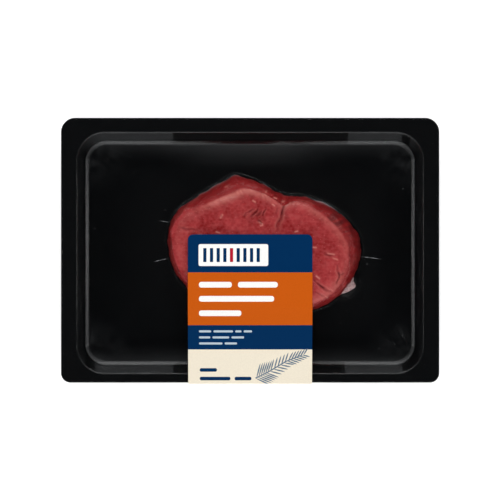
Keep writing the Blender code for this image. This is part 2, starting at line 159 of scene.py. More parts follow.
# Grooves in the meat as (points in mm, depth in mm, half width in mm)
GROOVES = (
    (((18.4, 26.6), (17.0, 19.7), (14.9, 14.4), (13.9, 9.6)), 0.86, 0.6),
    (((14.6, 23.3), (13.6, 19.0)), 0.3, 0.45),
    (((-3.2, 17.4), (-0.6, 19.7), (1.5, 22.3)), 0.5, 0.45),
    (((0.2, 17.4), (3.1, 20.2), (3.8, 22.0)), 0.6, 0.45),
    (((3.4, 17.8), (6.3, 20.7)), 0.5, 0.4),
    (((6.8, 18.6), (8.5, 21.8)), 0.45, 0.4),
    (((3.4, 15.7), (5.2, 14.4), (6.3, 13.3)), 0.6, 0.5),
    (((-15.9, 16.7), (-14.6, 18.0)), 0.4, 0.35),
    (((45.4, -7.8), (46.5, -13.1), (45.8, -17.9)), 0.6, 0.45),
    (((46.5, -12.9), (50.2, -12.1)), 0.5, 0.4),
    (((33.3, -15.8), (37.5, -19.5), (42.3, -22.6)), 0.55, 0.5),
    (((39.6, -21.6), (44.9, -22.4), (48.6, -23.7)), 0.4, 0.4),
    (((34.3, -21.1), (39.6, -24.8)), 0.4, 0.4),
    (((38.6, -1.0), (41.7, -2.5), (46.0, -2.8)), 0.35, 0.4),
    (((-40.3, 12.5), (-34.5, 11.4), (-26.5, 9.6)), 0.3, 0.5),
)
# A groove deeper than this runs open into the notch instead of fading out at both ends
OPEN_DEPTH = 0.85
# The bank beside a groove: its place in half widths, and its height as a share of the depth
BANK_PLACE = 2.1
BANK_HEIGHT = 0.25
# How much painted shade darkens a groove for each mm of its depth, up to 1
GROOVE_SHADE = 1.7
# Soft lighter and darker places on the top face: x, y, radius in mm, and how much lighter or darker
TONES = (
    (-38.7, 9.1, 7, 0.5),
    (-40.8, 1.7, 6, 0.6),
    (23.7, 23.9, 7, 0.7),
    (51.3, -4.7, 6, 0.3),
    (44.9, -19.5, 8, 0.6),
    (37.5, -25.8, 6, 0.9),
    (-8.0, 30.3, 5, -0.3),
    (2.6, 19.7, 5.5, -0.6),
    (-2.5, 14.5, 6, -0.5),
    (15.3, 18.6, 4, -0.4),
    (-21.8, 14.4, 8, -0.35),
    (33.3, 14.4, 7, -0.2),
    (42.8, 4.9, 6, -0.2),
)
# The pale rim of the top, where the fibres end and the film's highlight is painted over them: its line in
# from the edge, and how wide it is on either side of that, in mm
RIM_LINE = 0.9
RIM_OUTER = 0.8
RIM_INNER = 3.0
RIM_STROKE_DEPTH = 0.12
RIM_PALE = 0.37
RIM_STROKE_PALE = 0.26
RIM_LEAST = 0.12
# Where the rim's painted highlight is strongest, as the film there catches the lamps: direction from the
# middle, half spread, both in radians, and how much
RIM_PAINTED_HIGHLIGHT = (
    (2.38, 0.22, 0.9),
    (2.05, 0.2, 0.8),
    (1.72, 0.18, 0.7),
    (1.22, 0.2, 0.65),
    (0.75, 0.3, 0.3),
    (0.3, 0.3, 0.25),
    (-0.75, 0.35, 0.45),
)
# Painted shade on stretches of the side that are lit less: direction from the middle, half spread, both in
# radians, and how much
SIDE_PAINTED_SHADE = (
    (0.38, 0.25, 0.75),
    (0.0, 0.25, 0.35),
    (2.2, 0.25, 0.25),
)
# Pale flecks of fat and painted glints of the wet film, as x, y, length in mm and angle in degrees
FLECKS_AND_GLINTS = (
    (-11.1, 34.9, 1.4, 60),
    (-12.6, 33.6, 1.0, 20),
    (7.0, 34.0, 1.6, -40),
    (8.6, 31.2, 1.2, 70),
    (12.3, 23.9, 1.3, -35),
    (17.6, 26.6, 1.5, 40),
    (19.4, 24.4, 1.2, -10),
    (20.8, 24.9, 0.9, 80),
    (-15.0, 17.7, 1.8, 55),
    (5.7, 14.2, 1.8, -35),
    (6.0, 13.0, 1.0, 20),
    (2.1, 25.7, 1.3, -30),
    (7.9, 29.2, 1.2, -45),
    (13.2, 27.5, 1.2, -30),
    (24.2, 9.8, 1.2, 15),
    (-26.5, 8.1, 2.0, 5),
    (-17.0, 9.4, 1.6, -15),
    (33.4, 1.5, 2.4, -5),
    (42.6, -2.0, 3.2, -8),
    (44.8, -4.6, 2.2, -20),
    (35.5, -14.2, 2.0, -40),
    (40.0, -24.5, 1.6, -35),
)
FLECK_HALF_WIDTH = 0.42

# The flap of fat: its place along the outline in rows, its reach and its height
FLAP_ROW = 7.0
FLAP_HALF_ROWS = 0.43
FLAP_REACH = 4.4 * MM
FLAP_START = 0.5 * MM
FLAP_HEIGHT = 2.9 * MM
FLAP_ROOT = 1.0 * MM
FLAP_THIN_EDGE = 0.12
FLAP_STATIONS = 40
FLAP_STEPS = 12
FLAP_LUMPS = ((0.22, (1.8, 1.8, 2.0), 21), (0.1, (0.8, 0.8, 1.0), 22))
# The flap's own edge: place along the outline in rows from FLAP_ROW, and how far out it lies, in mm
FLAP_EDGE = (
    (-0.43, 0.5),
    (-0.3, 1.4),
    (-0.17, 2.3),
    (0.0, 3.2),
    (0.1, 3.8),
    (0.18, 3.75),
    (0.25, 2.6),
    (0.31, 1.2),
    (0.43, 0.5),
)

# The film
FILM = 0.3 * MM
FILM_OFFSET = 0.45 * MM
FILM_INSET = 0.2 * MM
FILM_STATIONS = 300
FILM_ROW_SPACING = 0.8 * MM
WEB_ROWS = 22
# The side's rows that the film passes by before it comes in to the meat
UNDER_FILM = 3
# How far the film, which bridges fine relief, may lie under the height of that relief, in mm
FILM_SINK = 0.05
BRIDGING_ROUNDS = 3
# The film's rows from the floor up to the meat: height, distance out from the outline, share of the flap
FILM_WEB = (
    (0.0, 2.1, 1.0),
    (0.02, 1.6, 1.0),
    (0.25, 1.15, 1.0),
    (0.8, 0.85, 1.0),
    (1.7, 0.68, 1.0),
    (3.1, 0.55, 0.75),
    (4.6, 0.45, 0.05),
)
# The film rises over the flap along a stretch this much longer than the flap
FLAP_COVER = 1 / 0.69
# Where the film stands off the meat like a tent: outline row, half width in rows, how far off in mm
TENTS = ((11.0, 1.7, 0.2), (17.5, 2.2, 0.1), (8.2, 1.0, 0.12), (2.5, 2.0, 0.05))
# What share of that each of the film's rows has, from the floor up
TENT_SHAPE = (2.0, 1.8, 1.6, 1.4, 1.2, 1.05, 0.9, 0.7, 0.4, 0.1)
# How the tents vary on their way round, as waves
TENT_FLUTTER = ((0.25, (6, 6, 6), 31),)

# How milky the film is. First, over the meat, and in the line where it leaves the floor, which is painted in
# as a highlight line, by height in mm
MEAT_HAZE = 0.04
WEB_LINE_HEIGHT = 0.9
WEB_LINE_HALF = 0.3
WEB_PAINTED_HIGHLIGHT = 0.35
# Where light gleams on the film along the meat's edge: outline row, half width in rows, how milky
GLEAMS = (
    (11.0, 0.55, 5.0),
    (12.6, 0.5, 0.8),
    (14.0, 0.25, 2.5),
    (16.2, 0.6, 1.5),
    (17.5, 0.7, 2.2),
    (18.9, 0.5, 1.5),
    (20.0, 0.6, 0.6),
)
# The height of the gleams over the film on the floor, and how far they spread up and down, in mm
GLEAM_HEIGHT = 11.0
GLEAM_HALF = 2.5
# Haze on the flange, and on the wall's rows from rim to floor, on the long sides and on the ends: partly the
# film's milkiness and partly painted reflection of the lamps
FLANGE_HAZE = 0.03
WALL_HAZE = (
    *[(0.03, 0.03)] * 2,
    *[(0.75, 0.12)] * (RIM_STEPS - 1),
    *[(0.68, 0.02)] * (KNEE_STEPS - 1),
    # The knee and the foot: painted highlight lines
    (0.8, 0.5),
    (1.25, 0.8),
    (1.25, 0.1),
    (0.5, 0.0),
    *[(0.15, 0.0)] * (FLOOR_STEPS - 1),
)
# The same on the floor's first rows, by how far in they lie in mm, on the long sides: a painted glow of
# reflected light along the foot of the walls
FLOOR_HAZE = ((1.2, 0.08), (2.5, 0.04), (4.5, 0.02), (7.0, 0.0), (10.0, 0.0))
# Painted shadows on stretches of the long walls, across their middles where the steak and the label keep the
# lamps off,
# and near the corners: middle and half length in mm along X, which long side it is on, and the height over
# the floor from which the shadow is painted, in mm
PAINTED_WALL_SHADOWS = (
    (5.5, 46.3, 1, 0.95),
    (82.5, 2.1, 1, 2.2),
    (4.7, 45.5, -1, 0.95),
    (-84.7, 2.7, -1, 2.2),
    (84.9, 4.2, -1, 2.2),
)
# The share of the haze that the painted shadows take away, and the height above which the film is no longer
# on the tray
SHADOWED_SHARE = 0.93
SHADOWS_UP_TO = TRAY_HEIGHT + 0.3 * MM
# How far from the middle the long walls lie, with room on both sides of them
WALL_MIDDLE = 61 * MM
WALL_HALF = 8 * MM
# The well's middle along Y, about which its two long sides mirror each other
WELL_MIDDLE = -1.15 * MM
# Pull lines: the corner that they fan out from, their spacing in radians, and where they fade out
FAN_ORIGIN = (89 * MM, 61 * MM, 0)
FAN_ANGLE = 0.1
FAN_REACH = (4 * MM, 32 * MM)
# How much light a haze of 1 scatters, which is little, as the film is clear
MILK = 0.022

# Creases in the film as x, y and height over the floor's film, in mm
CREASES = (
    ((-48.3, 15.7, 0.0), (-45.4, 15.2, 0.05), (-43.2, 14.9, 0.9)),
    ((-51.6, -6.2, 0.0), (-47.3, -5.2, 0.05), (-43.2, -4.4, 0.9)),
    ((69.4, -4.8, 0.0), (64.3, -4.0, 0.05), (58.6, -3.4, 0.9)),
)
CREASE_HALF = 0.22 * MM
CREASE_SPACING = 0.25 * MM
CREASE_TIP = 0.12
CREASE_SIDES = 10

# The label and, in mm along Y as seen from above, where its bands of colour end
LABEL = 0.3 * MM
LABEL_HALF = 32.7
LABEL_CORNER = 3.3
# The label's tail under the tray is all lower than this
LABEL_TAIL = 5 * MM
LABEL_CREASE = math.radians(40)
NAVY_START = 9
NAVY_END = -11.64
ORANGE_END = -39.4
SECOND_NAVY_END = -52.3
# The white panel as left, right, low and high side and corner, in mm, and its upright bars in the same way
PANEL = (-27.05, 9.5, -8.3, 3.2, 1.1)
PANEL_BAR = (-24.6, -22.9, -6.2, 1.1, 0.3)
PANEL_BARS = 9
PANEL_SPACING = 3.5
RED_BAR = 4
# Lines of plain bars: ink, height of the line's middle, half height, and each bar's two ends, in mm
LINES = (
    ("white", -18.1, 1.5, (-26.9, -9.6), (-6.4, 14.5)),
    ("white", -25.5, 1.5, (-26.9, 12.6)),
    ("white", -33.1, 1.5, (-26.9, -4.6)),
    ("grey", -42.7, 0.55, (-26.9, -20.5), (-19.3, -9.0), (-7.8, -4.6), (-3.4, 1.0)),
    ("grey", -45.9, 0.55, (-26.9, -21.0), (-19.8, -11.0), (-9.8, -3.2)),
    ("grey", -49.1, 0.55, (-26.9, -14.6), (-13.4, -6.9)),
    ("navy", -63.2, 0.95, (-26.6, -17.5)),
    ("navy", -67.8, 0.95, (-26.6, -10.4), (-8.2, 0.7)),
)
# The sprig: its stem, and its leaves in mm and degrees, with how much they shorten and close to the tip
STEM = ((2.8, -67.6), (9.0, -64.6), (19.0, -58.6), (27.5, -55.2))
STEM_HALF = (0.2, -0.25)
LEAF_PAIRS = 17
LEAF_LENGTH = 8.4
LEAF_SHORTENING = 0.5
LEAF_WIDTH = 0.75
LEAF_ANGLE = 50
LEAF_CLOSING = 14
LEAF_STAGGER = 0.6
# A leaf's outline as shares of its length and of its half width
LEAF_SHAPE = ((0, 0), (0.2, 0.7), (0.5, 1), (0.8, 0.7), (1, 0), (0.8, -0.7), (0.5, -1), (0.2, -0.7))

# Lamps: the angle of the low ones, the height in metres of those above, how many metres off the fills
# are, and how bright the surface of each is
LAMP_ELEVATION = math.radians(36)
LAMP_HEIGHT = 2.6
FILL_DISTANCE = 1.05
OVERHEAD = 3.4
SOFTBOX_BEHIND = 1.2
SOFTBOX_IN_FRONT = 0.7
SIDE_FILL = 5.0
FILM_LIGHT = 168.0
FILM_LIGHT_ABOVE = 128.0
RIGHT_STRIP = 1.4
LEFT_STRIP = 1.2

# The camera: the width that it sees at the flange, its height over that, and the place under it
VIEW_WIDTH = 264.35 * MM
CAMERA_HEIGHT = 2.0
CAMERA_PLACE = (-0.07 * MM, 0.41 * MM)
# The width of its sensor in mm, which only sets the scale of its focal length
SENSOR = 36
# Half the side of the table, in metres
FLOOR_HALF = 1.5


def linear(colour):
    """A colour written as sRGB hex, as the linear values that the shaders want."""
    values = [int(colour[i : i + 2], 16) / 255 for i in (1, 3, 5)]
    return (*[v / 12.92 if v <= 0.04045 else ((v + 0.055) / 1.055) ** 2.4 for v in values], 1.0)


def add(tree, kind, inputs=None, **settings):
    """Adds a node. An input is a value, an output, or a node whose first live output is linked."""
    made = tree.nodes.new(kind)
    for name, value in settings.items():
        setattr(made, name, value)
    for name, value in (inputs or {}).items():
        if isinstance(value, bpy.types.Node):
            value = next(output for output in value.outputs if output.enabled)
        if isinstance(value, bpy.types.NodeSocket):
            tree.links.new(value, made.inputs[name])
        else:
            made.inputs[name].default_value = value
    return made


def blank_material(name):
    """A material with an empty node tree, and the tree."""
    material = bpy.data.materials.new(name)
    material.use_nodes = True
    material.node_tree.nodes.clear()
    return material, material.node_tree


# Meshes


def new_object(name, data):
    """An object in the scene that shows the given mesh, light or camera."""
    obj = bpy.data.objects.new(name, data)
    bpy.context.scene.collection.objects.link(obj)
    return obj


def mesh_object(name, vertices, faces, materials, shares=None):
    """A smooth mesh object in the tray's place. shares holds a value per vertex for each named attribute."""
    mesh = bpy.data.meshes.new(name)
    mesh.from_pydata((np.asarray(vertices) + np.array(TRAY_SHIFT)).tolist(), [], faces)
    mesh.shade_smooth()
    for key, values in (shares or {}).items():
        layer = mesh.attributes.new(key, "FLOAT", "POINT")
        layer.data.foreach_set("value", np.asarray(values, dtype=np.float32))
    for material in materials:
        mesh.materials.append(material)
    return new_object(name, mesh)


def ring_faces(first, second, count):
    """Quads between two rings of count vertices that start at the given numbers."""
    return [
        (first + i, first + (i + 1) % count, second + (i + 1) % count, second + i) for i in range(count)
    ]


def applied(obj):
    """Makes an object's modifiers part of its mesh."""
    graph = bpy.context.evaluated_depsgraph_get()
    mesh = bpy.data.meshes.new_from_object(obj.evaluated_get(graph), depsgraph=graph)
    obj.modifiers.clear()
    obj.data = mesh


def thickened(obj, thickness, offset, material_offset=0):
    """Gives a sheet its thickness: half on each side of it for offset 0, all behind it for offset -1."""
    solid = obj.modifiers.new("thickness", "SOLIDIFY")
    solid.thickness = thickness
    solid.offset = offset
    solid.material_offset = material_offset
    applied(obj)


# Tray


def rounded_rectangle(left, right, near, far, near_radius, far_radius, height):
    """Points counter-clockwise round a rectangle with round corners, from its near right corner."""
    corners = (
        (right - near_radius, near + near_radius, near_radius, -90),
        (right - far_radius, far - far_radius, far_radius, 0),
        (left + far_radius, far - far_radius, far_radius, 90),
        (left + near_radius, near + near_radius, near_radius, 180),
    )
    points = []
    for centre_x, centre_y, radius, start in corners:
        for step in range(CORNER_STEPS + 1):
            angle = math.radians(start + 90 * step / CORNER_STEPS)
            points.append((centre_x + radius * math.cos(angle), centre_y + radius * math.sin(angle), height))
    return points


def flange_ring(inset, height):
    """The outer edge of the flange, moved in by inset."""
    x = TRAY_LENGTH / 2 - inset
    y = TRAY_WIDTH / 2 - inset
    return rounded_rectangle(-x, x, -y, y, NEAR_CORNER - inset, FAR_CORNER - inset, height)


def well_ring(inset, height):
    """The mouth of the well, moved in by inset. Its corners tighten more slowly than it shrinks."""
    x = TRAY_LENGTH / 2 - FLANGE_SIDE - inset
    near = -TRAY_WIDTH / 2 + FLANGE_NEAR + inset
    far = TRAY_WIDTH / 2 - FLANGE_FAR - inset
    radius = max(WELL_CORNER - CORNER_SHRINK * inset, 2 * MM)
    return rounded_rectangle(-x, x, near, far, radius, radius, height)


def arc(centre, radius, start, end, steps):
    """Points on an arc, by their angle from straight up. A radius below zero hangs them under the centre."""
    angles = [start + (end - start) * step / steps for step in range(steps + 1)]
    return [centre + Vector((math.sin(angle), math.cos(angle))) * radius for angle in angles]


def wall_profile(offset):
    """The wall in section from the flange to the floor, as (distance in from the mouth, height)."""
    steep = math.pi / 2 - WALL_DRAFT
    rim = Vector((0, TRAY_HEIGHT - RIM_ROUND))
    wall_top = arc(rim, RIM_ROUND, steep, steep, 1)[0]
    foot_low = arc(Vector((0, FLOOR + FLOOR_ROUND)), -FLOOR_ROUND, FOOT_SLOPE, FOOT_SLOPE, 1)[0]
    foot_high = foot_low + Vector((-math.cos(FOOT_SLOPE), math.sin(FOOT_SLOPE))) * FOOT_STRIP
    knee = foot_high + Vector((math.sin(FOOT_SLOPE), math.cos(FOOT_SLOPE))) * KNEE_ROUND
    wall_low = arc(knee, -KNEE_ROUND, steep, steep, 1)[0]
    floor_start = wall_top.x + (wall_top.y - wall_low.y) * math.tan(WALL_DRAFT) - wall_low.x
    inwards = Vector((floor_start, 0))
    floor = Vector((floor_start, FLOOR + FLOOR_ROUND))
    return [
        *arc(rim, RIM_ROUND + offset, 0, steep, RIM_STEPS),
        *arc(knee + inwards, offset - KNEE_ROUND, steep, FOOT_SLOPE, KNEE_STEPS),
        *arc(floor, offset - FLOOR_ROUND, FOOT_SLOPE, 0, FLOOR_STEPS),
    ]


def well_rings(offset):
    """Rings from the mouth of the well down to its floor, moved out of the upper face by offset."""
    profile = wall_profile(offset)
    rings = [well_ring(inset, height) for inset, height in profile]
    return [*rings, well_ring(profile[-1].x + SUPPORT, FLOOR + offset)]


def flange_edge():
    """Rings from the top of the flange round its cut edge to its underside."""
    rings = [flange_ring(EDGE_ROUND + SUPPORT, TRAY_HEIGHT)]
    for height, turned in ((TRAY_HEIGHT - EDGE_ROUND, 90), (TRAY_HEIGHT - SHEET + EDGE_ROUND, 0)):
        for step in range(EDGE_STEPS + 1):
            angle = math.radians(turned - 90 * step / EDGE_STEPS)
            inset = EDGE_ROUND * (1 - math.cos(angle))
            rings.append(flange_ring(inset, height + EDGE_ROUND * math.sin(angle)))
    return [*rings, flange_ring(EDGE_ROUND + SUPPORT, TRAY_HEIGHT - SHEET)]


def pad_places():
    """The middles of the four pads, close to the corners of the floor."""
    wall = wall_profile(0)[-1].x + PAD_DRAFT
    right = TRAY_LENGTH / 2 - FLANGE_SIDE - wall - PAD_LENGTH / 2
    far = TRAY_WIDTH / 2 - FLANGE_FAR - wall - PAD_WIDTH / 2
    near = -TRAY_WIDTH / 2 + FLANGE_NEAR + wall + PAD_WIDTH / 2
    return [(x, y) for x in (-right, right) for y in (near, far)]


def make_tray(material):
    """The tray as one closed sheet with a round edge, and its four pads."""
    rings = [*reversed(well_rings(0)), *flange_edge(), *well_rings(-SHEET)]
    count = len(rings[0])
    last = (len(rings) - 1) * count
    vertices = sum(rings, [])
    faces = [tuple(range(count))]
    for start in range(0, last, count):
        faces += ring_faces(start + count, start, count)
    faces.append(tuple(reversed(range(last, last + count))))
    for x, y in pad_places():
        start = len(vertices)
        for inset, height in ((PAD_DRAFT, 0), (0, PAD_HEIGHT + PAD_BURIED)):
            half_x = PAD_LENGTH / 2 - inset
            half_y = PAD_WIDTH / 2 - inset
            sides = (x - half_x, x + half_x, y - half_y, y + half_y)
            vertices += rounded_rectangle(*sides, PAD_ROUND - inset, PAD_ROUND - inset, height)
        faces += ring_faces(start, start + count, count)
        faces.append(tuple(reversed(range(start, start + count))))
        faces.append(tuple(range(start + count, start + 2 * count)))
    tray = mesh_object("black_tray", vertices, faces, [material])
    tray.data.set_sharp_from_angle(angle=TRAY_CREASE)
    return tray


# Steak


def outline_rows(at):
    """The smooth closed curve through STEAK_OUTLINE at row numbers with fractions, as x, y and lean."""
    rows = np.array(STEAK_OUTLINE) * MM
    index = np.floor(at).astype(int)
    share = (at - index)[:, None]
    knots = [rows[(index + k) % len(rows)] for k in (-1, 0, 1, 2)]
    steps = [second - first for first, second in zip(knots, knots[1:])]
    chords = [np.linalg.norm(step[:, :2], axis=1)[:, None] for step in steps]
    slopes = [step / chord for step, chord in zip(steps, chords)]
    start = (slopes[0] * chords[1] + slopes[1] * chords[0]) / (chords[0] + chords[1])
    end = (slopes[1] * chords[2] + slopes[2] * chords[1]) / (chords[1] + chords[2])
    ease = share * share * (3 - 2 * share)
    leave = share * (1 - share) ** 2
    arrive = share * share * (share - 1)
    return knots[1] + steps[1] * ease + (start * leave + end * arrive) * chords[1]


def outwards(rows):
    """The level direction out of the steak at row numbers of its outline."""
    along = outline_rows(rows + ROW_NUDGE)[:, :2] - outline_rows(rows - ROW_NUDGE)[:, :2]
    along /= np.linalg.norm(along, axis=1)[:, None]
    return np.stack((along[:, 1], -along[:, 0]), axis=1)


def steak_stations(count):
    """Evenly spaced places round the outline: row number, point, direction out and top edge."""
    marks = np.linspace(0, len(STEAK_OUTLINE), OUTLINE_MARKS)
    points = outline_rows(marks)[:, :2]
    lengths = np.concatenate(([0], np.cumsum(np.linalg.norm(np.diff(points, axis=0), axis=1))))
    rows = np.interp(np.arange(count) * lengths[-1] / count, lengths, marks)
    here = outline_rows(rows)
    inwards = STEAK_CENTRE - here[:, :2]
    inwards /= np.linalg.norm(inwards, axis=1)[:, None]
    return rows, here[:, :2], outwards(rows), here[:, :2] + inwards * here[:, 2:]


def top_height(x, share):
    """Height of the top face without its cleft, in metres. share is 1 at its edge and 0 at its centre."""
    drop = max(0.0, (share - STEAK_EDGE_SHARE) / (1 - STEAK_EDGE_SHARE)) ** 2 * STEAK_EDGE_DROP
    return STEAK_BASE + (STEAK_THICKNESS + STEAK_DOME * (1 - share**2) - drop) * MM + STEAK_TILT * x


def meat_rows(stations):
    """The steak's rows of points from its base up its side and over its top."""
    _, point, out, top = stations
    rows = []
    for height, inset, lean in STEAK_SIDE:
        xy = point + (top - point) * lean - out * inset * MM
        rows.append(np.column_stack((xy, np.full(len(xy), STEAK_BASE + height * MM))))
    for share in STEAK_TOP_SHARES:
        xy = STEAK_CENTRE + (top - STEAK_CENTRE) * share
        rows.append(np.column_stack((xy, top_height(xy[:, 0], share))))
    return np.array(rows)


def knots_of(rows):
    """The mean distance along the rows, one knot to each row."""
    steps = np.linalg.norm(np.diff(rows, axis=0), axis=2).mean(axis=1)
    return np.concatenate(([0], np.cumsum(steps)))


def refine(rows, knots, at):
    """Smooth curves through rows of points, read off at the places in at."""
    slopes = np.gradient(rows, knots, axis=0)
    index = np.clip(np.searchsorted(knots, at, side="right") - 1, 0, len(knots) - 2)
    span = (knots[index + 1] - knots[index])[:, None, None]
    t = (at - knots[index])[:, None, None] / span
    ease = t * t * (3 - 2 * t)
    bent = slopes[index] * t * (1 - t) ** 2 + slopes[index + 1] * t * t * (t - 1)
    return rows[index] + (rows[index + 1] - rows[index]) * ease + bent * span


def normals_of(rows):
    """Directions out of a surface given as rows of rings."""
    along = np.roll(rows, -1, axis=1) - np.roll(rows, 1, axis=1)
    up = np.gradient(rows, axis=0)
    out = np.cross(along, up)
    return out / np.maximum(np.linalg.norm(out, axis=2), 1e-12)[:, :, None]


def waves(places, sizes, seed, count=28):
    """Smooth random relief, about 1 high, whose humps have the given sizes along X, Y and Z."""
    draw = np.random.default_rng(seed)
    result = np.zeros(places.shape[:-1])
    for _ in range(count):
        way = draw.normal(size=3)
        way /= np.linalg.norm(way)
        way *= math.pi / np.array(sizes) * draw.uniform(0.6, 1.5)
        result += np.sin(places @ way + draw.uniform(0, math.tau))
    return result / math.sqrt(count / 2)


def layered(places, layers):
    """Waves laid over each other, from rows of height, sizes and seed."""
    return sum(height * waves(places, sizes, seed) for height, sizes, seed in layers)


def bell(distance, width):
    """1 at distance 0, and down to about a third at width."""
    return np.exp(-((distance / width) ** 2))


def short_way(turn, angle):
    """How far a direction lies from an angle, the short way round, in radians."""
    return (turn - angle + math.pi) % math.tau - math.pi


def humps(row, given):
    """Bells along the outline, from rows of middle, half width and height."""
    return sum(height * bell(row - middle, width) for middle, width, height in given)


def away_from(xy, points):
    """Distance from a line of straight pieces, and the share of the way along it."""
    best = np.full(xy.shape[:-1], 1e9)
    along = np.zeros(xy.shape[:-1])
    pieces = len(points) - 1
    for k, (start, end) in enumerate(zip(points, points[1:])):
        start = np.array(start)
        line = np.array(end) - start
        share = np.clip(((xy - start) @ line) / (line @ line), 0, 1)
        distance = np.linalg.norm(xy - start - share[..., None] * line, axis=-1)
        nearer = distance < best
        best = np.where(nearer, distance, best)
        along = np.where(nearer, (k + share) / pieces, along)
    return best, along


def cuts_of(places, tops, on_top):
    """The cleft and the grooves: their relief in mm, the painted shade that darkens them, and how pale their
    banks are.
    """
    distance, along = away_from(places[..., :2], (CLEFT_START, CLEFT_END))
    broad = bell(distance, CLEFT_WIDTH) * (1 - along)
    relief = -CLEFT_DEPTH * broad * np.clip((tops + CLEFT_DROP) / CLEFT_DROP, 0, 1)
    dark = CLEFT_SHADE * broad * on_top
    pale = np.zeros(dark.shape)
    xy = places[..., :2] + np.stack([layered(places, [way]) for way in WANDER], axis=-1)
    uneven = 0.75 + layered(places, GROOVE_TONES)
    for points, depth, width in GROOVES:
        distance, along = away_from(xy, points)
        fade = 1 - along**3 if depth > OPEN_DEPTH else np.sqrt(np.clip(4 * along * (1 - along), 0, 1))
        cut = bell(distance, width) * fade * on_top
        bank = bell(distance - BANK_PLACE * width, width) * fade * on_top
        relief += depth * (BANK_HEIGHT * bank - cut)
        dark = np.maximum(dark, cut * min(1.0, depth * GROOVE_SHADE) * uneven)
        pale = np.maximum(pale, BANK_HEIGHT * depth * bank)
    return relief, dark, pale


def rim_of(round_edge, tops, turn):
    """The pale rim where the fibres end at the top's edge, with the film's highlight painted over it,
    strongest where the film catches the lamps: its relief in mm and how pale it is.
    """
    lit = RIM_LEAST + sum(amount * bell(short_way(turn, angle), width) for angle, width, amount in RIM_PAINTED_HIGHLIGHT)
    rim = bell(tops - RIM_LINE, np.where(tops < RIM_LINE, RIM_OUTER, RIM_INNER))
    strokes = 0.5 + layered(round_edge, RIM_STROKES)
    pale = rim * (RIM_PALE + RIM_STROKE_PALE * np.clip(strokes, 0, 1)) * lit
    return RIM_STROKE_DEPTH * rim * (strokes - 0.5), pale


def flecks_and_glints_of(xy):
    """How pale the flecks and painted glints are. Their brightness differs by a rule on their length."""
    pale = np.zeros(xy.shape[:-1])
    for x, y, long, angle in FLECKS_AND_GLINTS:
        half = 0.5 * long * np.array((math.cos(math.radians(angle)), math.sin(math.radians(angle))))
        distance, _ = away_from(xy, (np.array((x, y)) - half, np.array((x, y)) + half))
        glint = (0.55 + 0.25 * (long % 0.7)) * bell(distance, FLECK_HALF_WIDTH)
        pale = np.maximum(pale, glint)
    return pale


def relief_of(rows, tops, lean):
    """The meat's relief in mm and its colour shares, for rows of points.

    tops says how far in from the top edge a point is, and lean how far the side leans in there, in mm.
    """
    places = rows / MM
    across = places[..., :2] - STEAK_CENTRE / MM
    turn = np.arctan2(across[..., 1], across[..., 0])
    spoke = across / np.maximum(np.linalg.norm(across, axis=-1, keepdims=True), 0.01)
    round_edge = np.concatenate((spoke * MEAN_RADIUS, tops[..., None]), axis=-1)
    on_top = np.clip(tops / TOP_EASE, 0, 1)
    side = 1 - np.clip(tops + np.interp(lean, *SIDE_REACH), 0, 1)
    relief, dark, pale = cuts_of(places, tops, on_top)
    relief += on_top * layered(places, TOP_HUMPS) + layered(places, FINE_HUMPS)
    relief += side * layered(places, SIDE_HUMPS)
    rim_relief, rim_pale = rim_of(round_edge, tops, turn)
    relief += rim_relief
    pale += rim_pale + SIDE_PALE * side * np.clip(layered(round_edge, SIDE_PATCHES), 0, 1)
    streaks = np.clip(0.6 + layered(round_edge, SIDE_STREAKS), 0, 1)
    # Painted shade, streaked, on the stretches of side that are lit less
    for angle, width, amount in SIDE_PAINTED_SHADE:
        dark = np.maximum(dark, side * bell(short_way(turn, angle), width) * amount * streaks)
    near_top = np.clip((tops + FLECK_FOOT) / FLECK_EASE, 0, 1)
    pale = np.maximum(pale, flecks_and_glints_of(places[..., :2]) * near_top)
    tone = layered(places, LEAN_TONES)
    for x, y, radius, amount in TONES:
        tone += amount * on_top * bell(np.linalg.norm(places[..., :2] - (x, y), axis=-1), radius)
    tone = np.clip(0.5 + 0.5 * tone, 0, 1)
    return relief, {"dark": dark, "pale": np.clip(pale, 0, 1), "side": side, "tone": tone}


def meat_surface(count, spacing):
    """The meat's rings of count points, spacing apart, with what the film needs to follow them."""
    stations = steak_stations(count)
    coarse = meat_rows(stations)
    knots = knots_of(coarse)
    at = np.linspace(0, knots[-1], round(knots[-1] / spacing))
    rows = refine(coarse, knots, at)
    edge = knots[len(STEAK_SIDE)]
    tops = np.repeat(((at - edge) / MM)[:, None], count, axis=1)
    lean = np.linalg.norm(stations[3] - stations[1], axis=1) / MM
    relief, shares = relief_of(rows, tops, lean)
    return stations, coarse, knots, at, rows, relief, shares


def make_steak(material):
    """The steak with its relief, from the middle of its base to the middle of its top."""
    _, _, _, _, rows, relief, shares = meat_surface(STATIONS, ROW_SPACING)
    full = rows + normals_of(rows) * relief[..., None] * MM
    count = full.shape[1]
    last = len(full) * count
    vertices = np.concatenate((full.reshape(-1, 3), [full[0].mean(axis=0), full[-1].mean(axis=0)]))
    faces = []
    for start in range(0, last - count, count):
        faces += ring_faces(start, start + count, count)
    faces += [((i + 1) % count, i, last) for i in range(count)]
    faces += [(last - count + i, last - count + (i + 1) % count, last + 1) for i in range(count)]
    shares = {key: np.append(value.reshape(-1), (0, value[-1].mean())) for key, value in shares.items()}
    return mesh_object("steak_meat", vertices, faces, [material], shares)


def flap_share(row, width=1.0):
    """How far the flap of fat comes out at a row of the outline, from 0 to 1."""
    away = np.abs(row % len(STEAK_OUTLINE) - FLAP_ROW) / (FLAP_HALF_ROWS * width)
    return np.where(away < 1, np.cos(np.minimum(away, 1) * math.pi / 2) ** 0.7, 0)


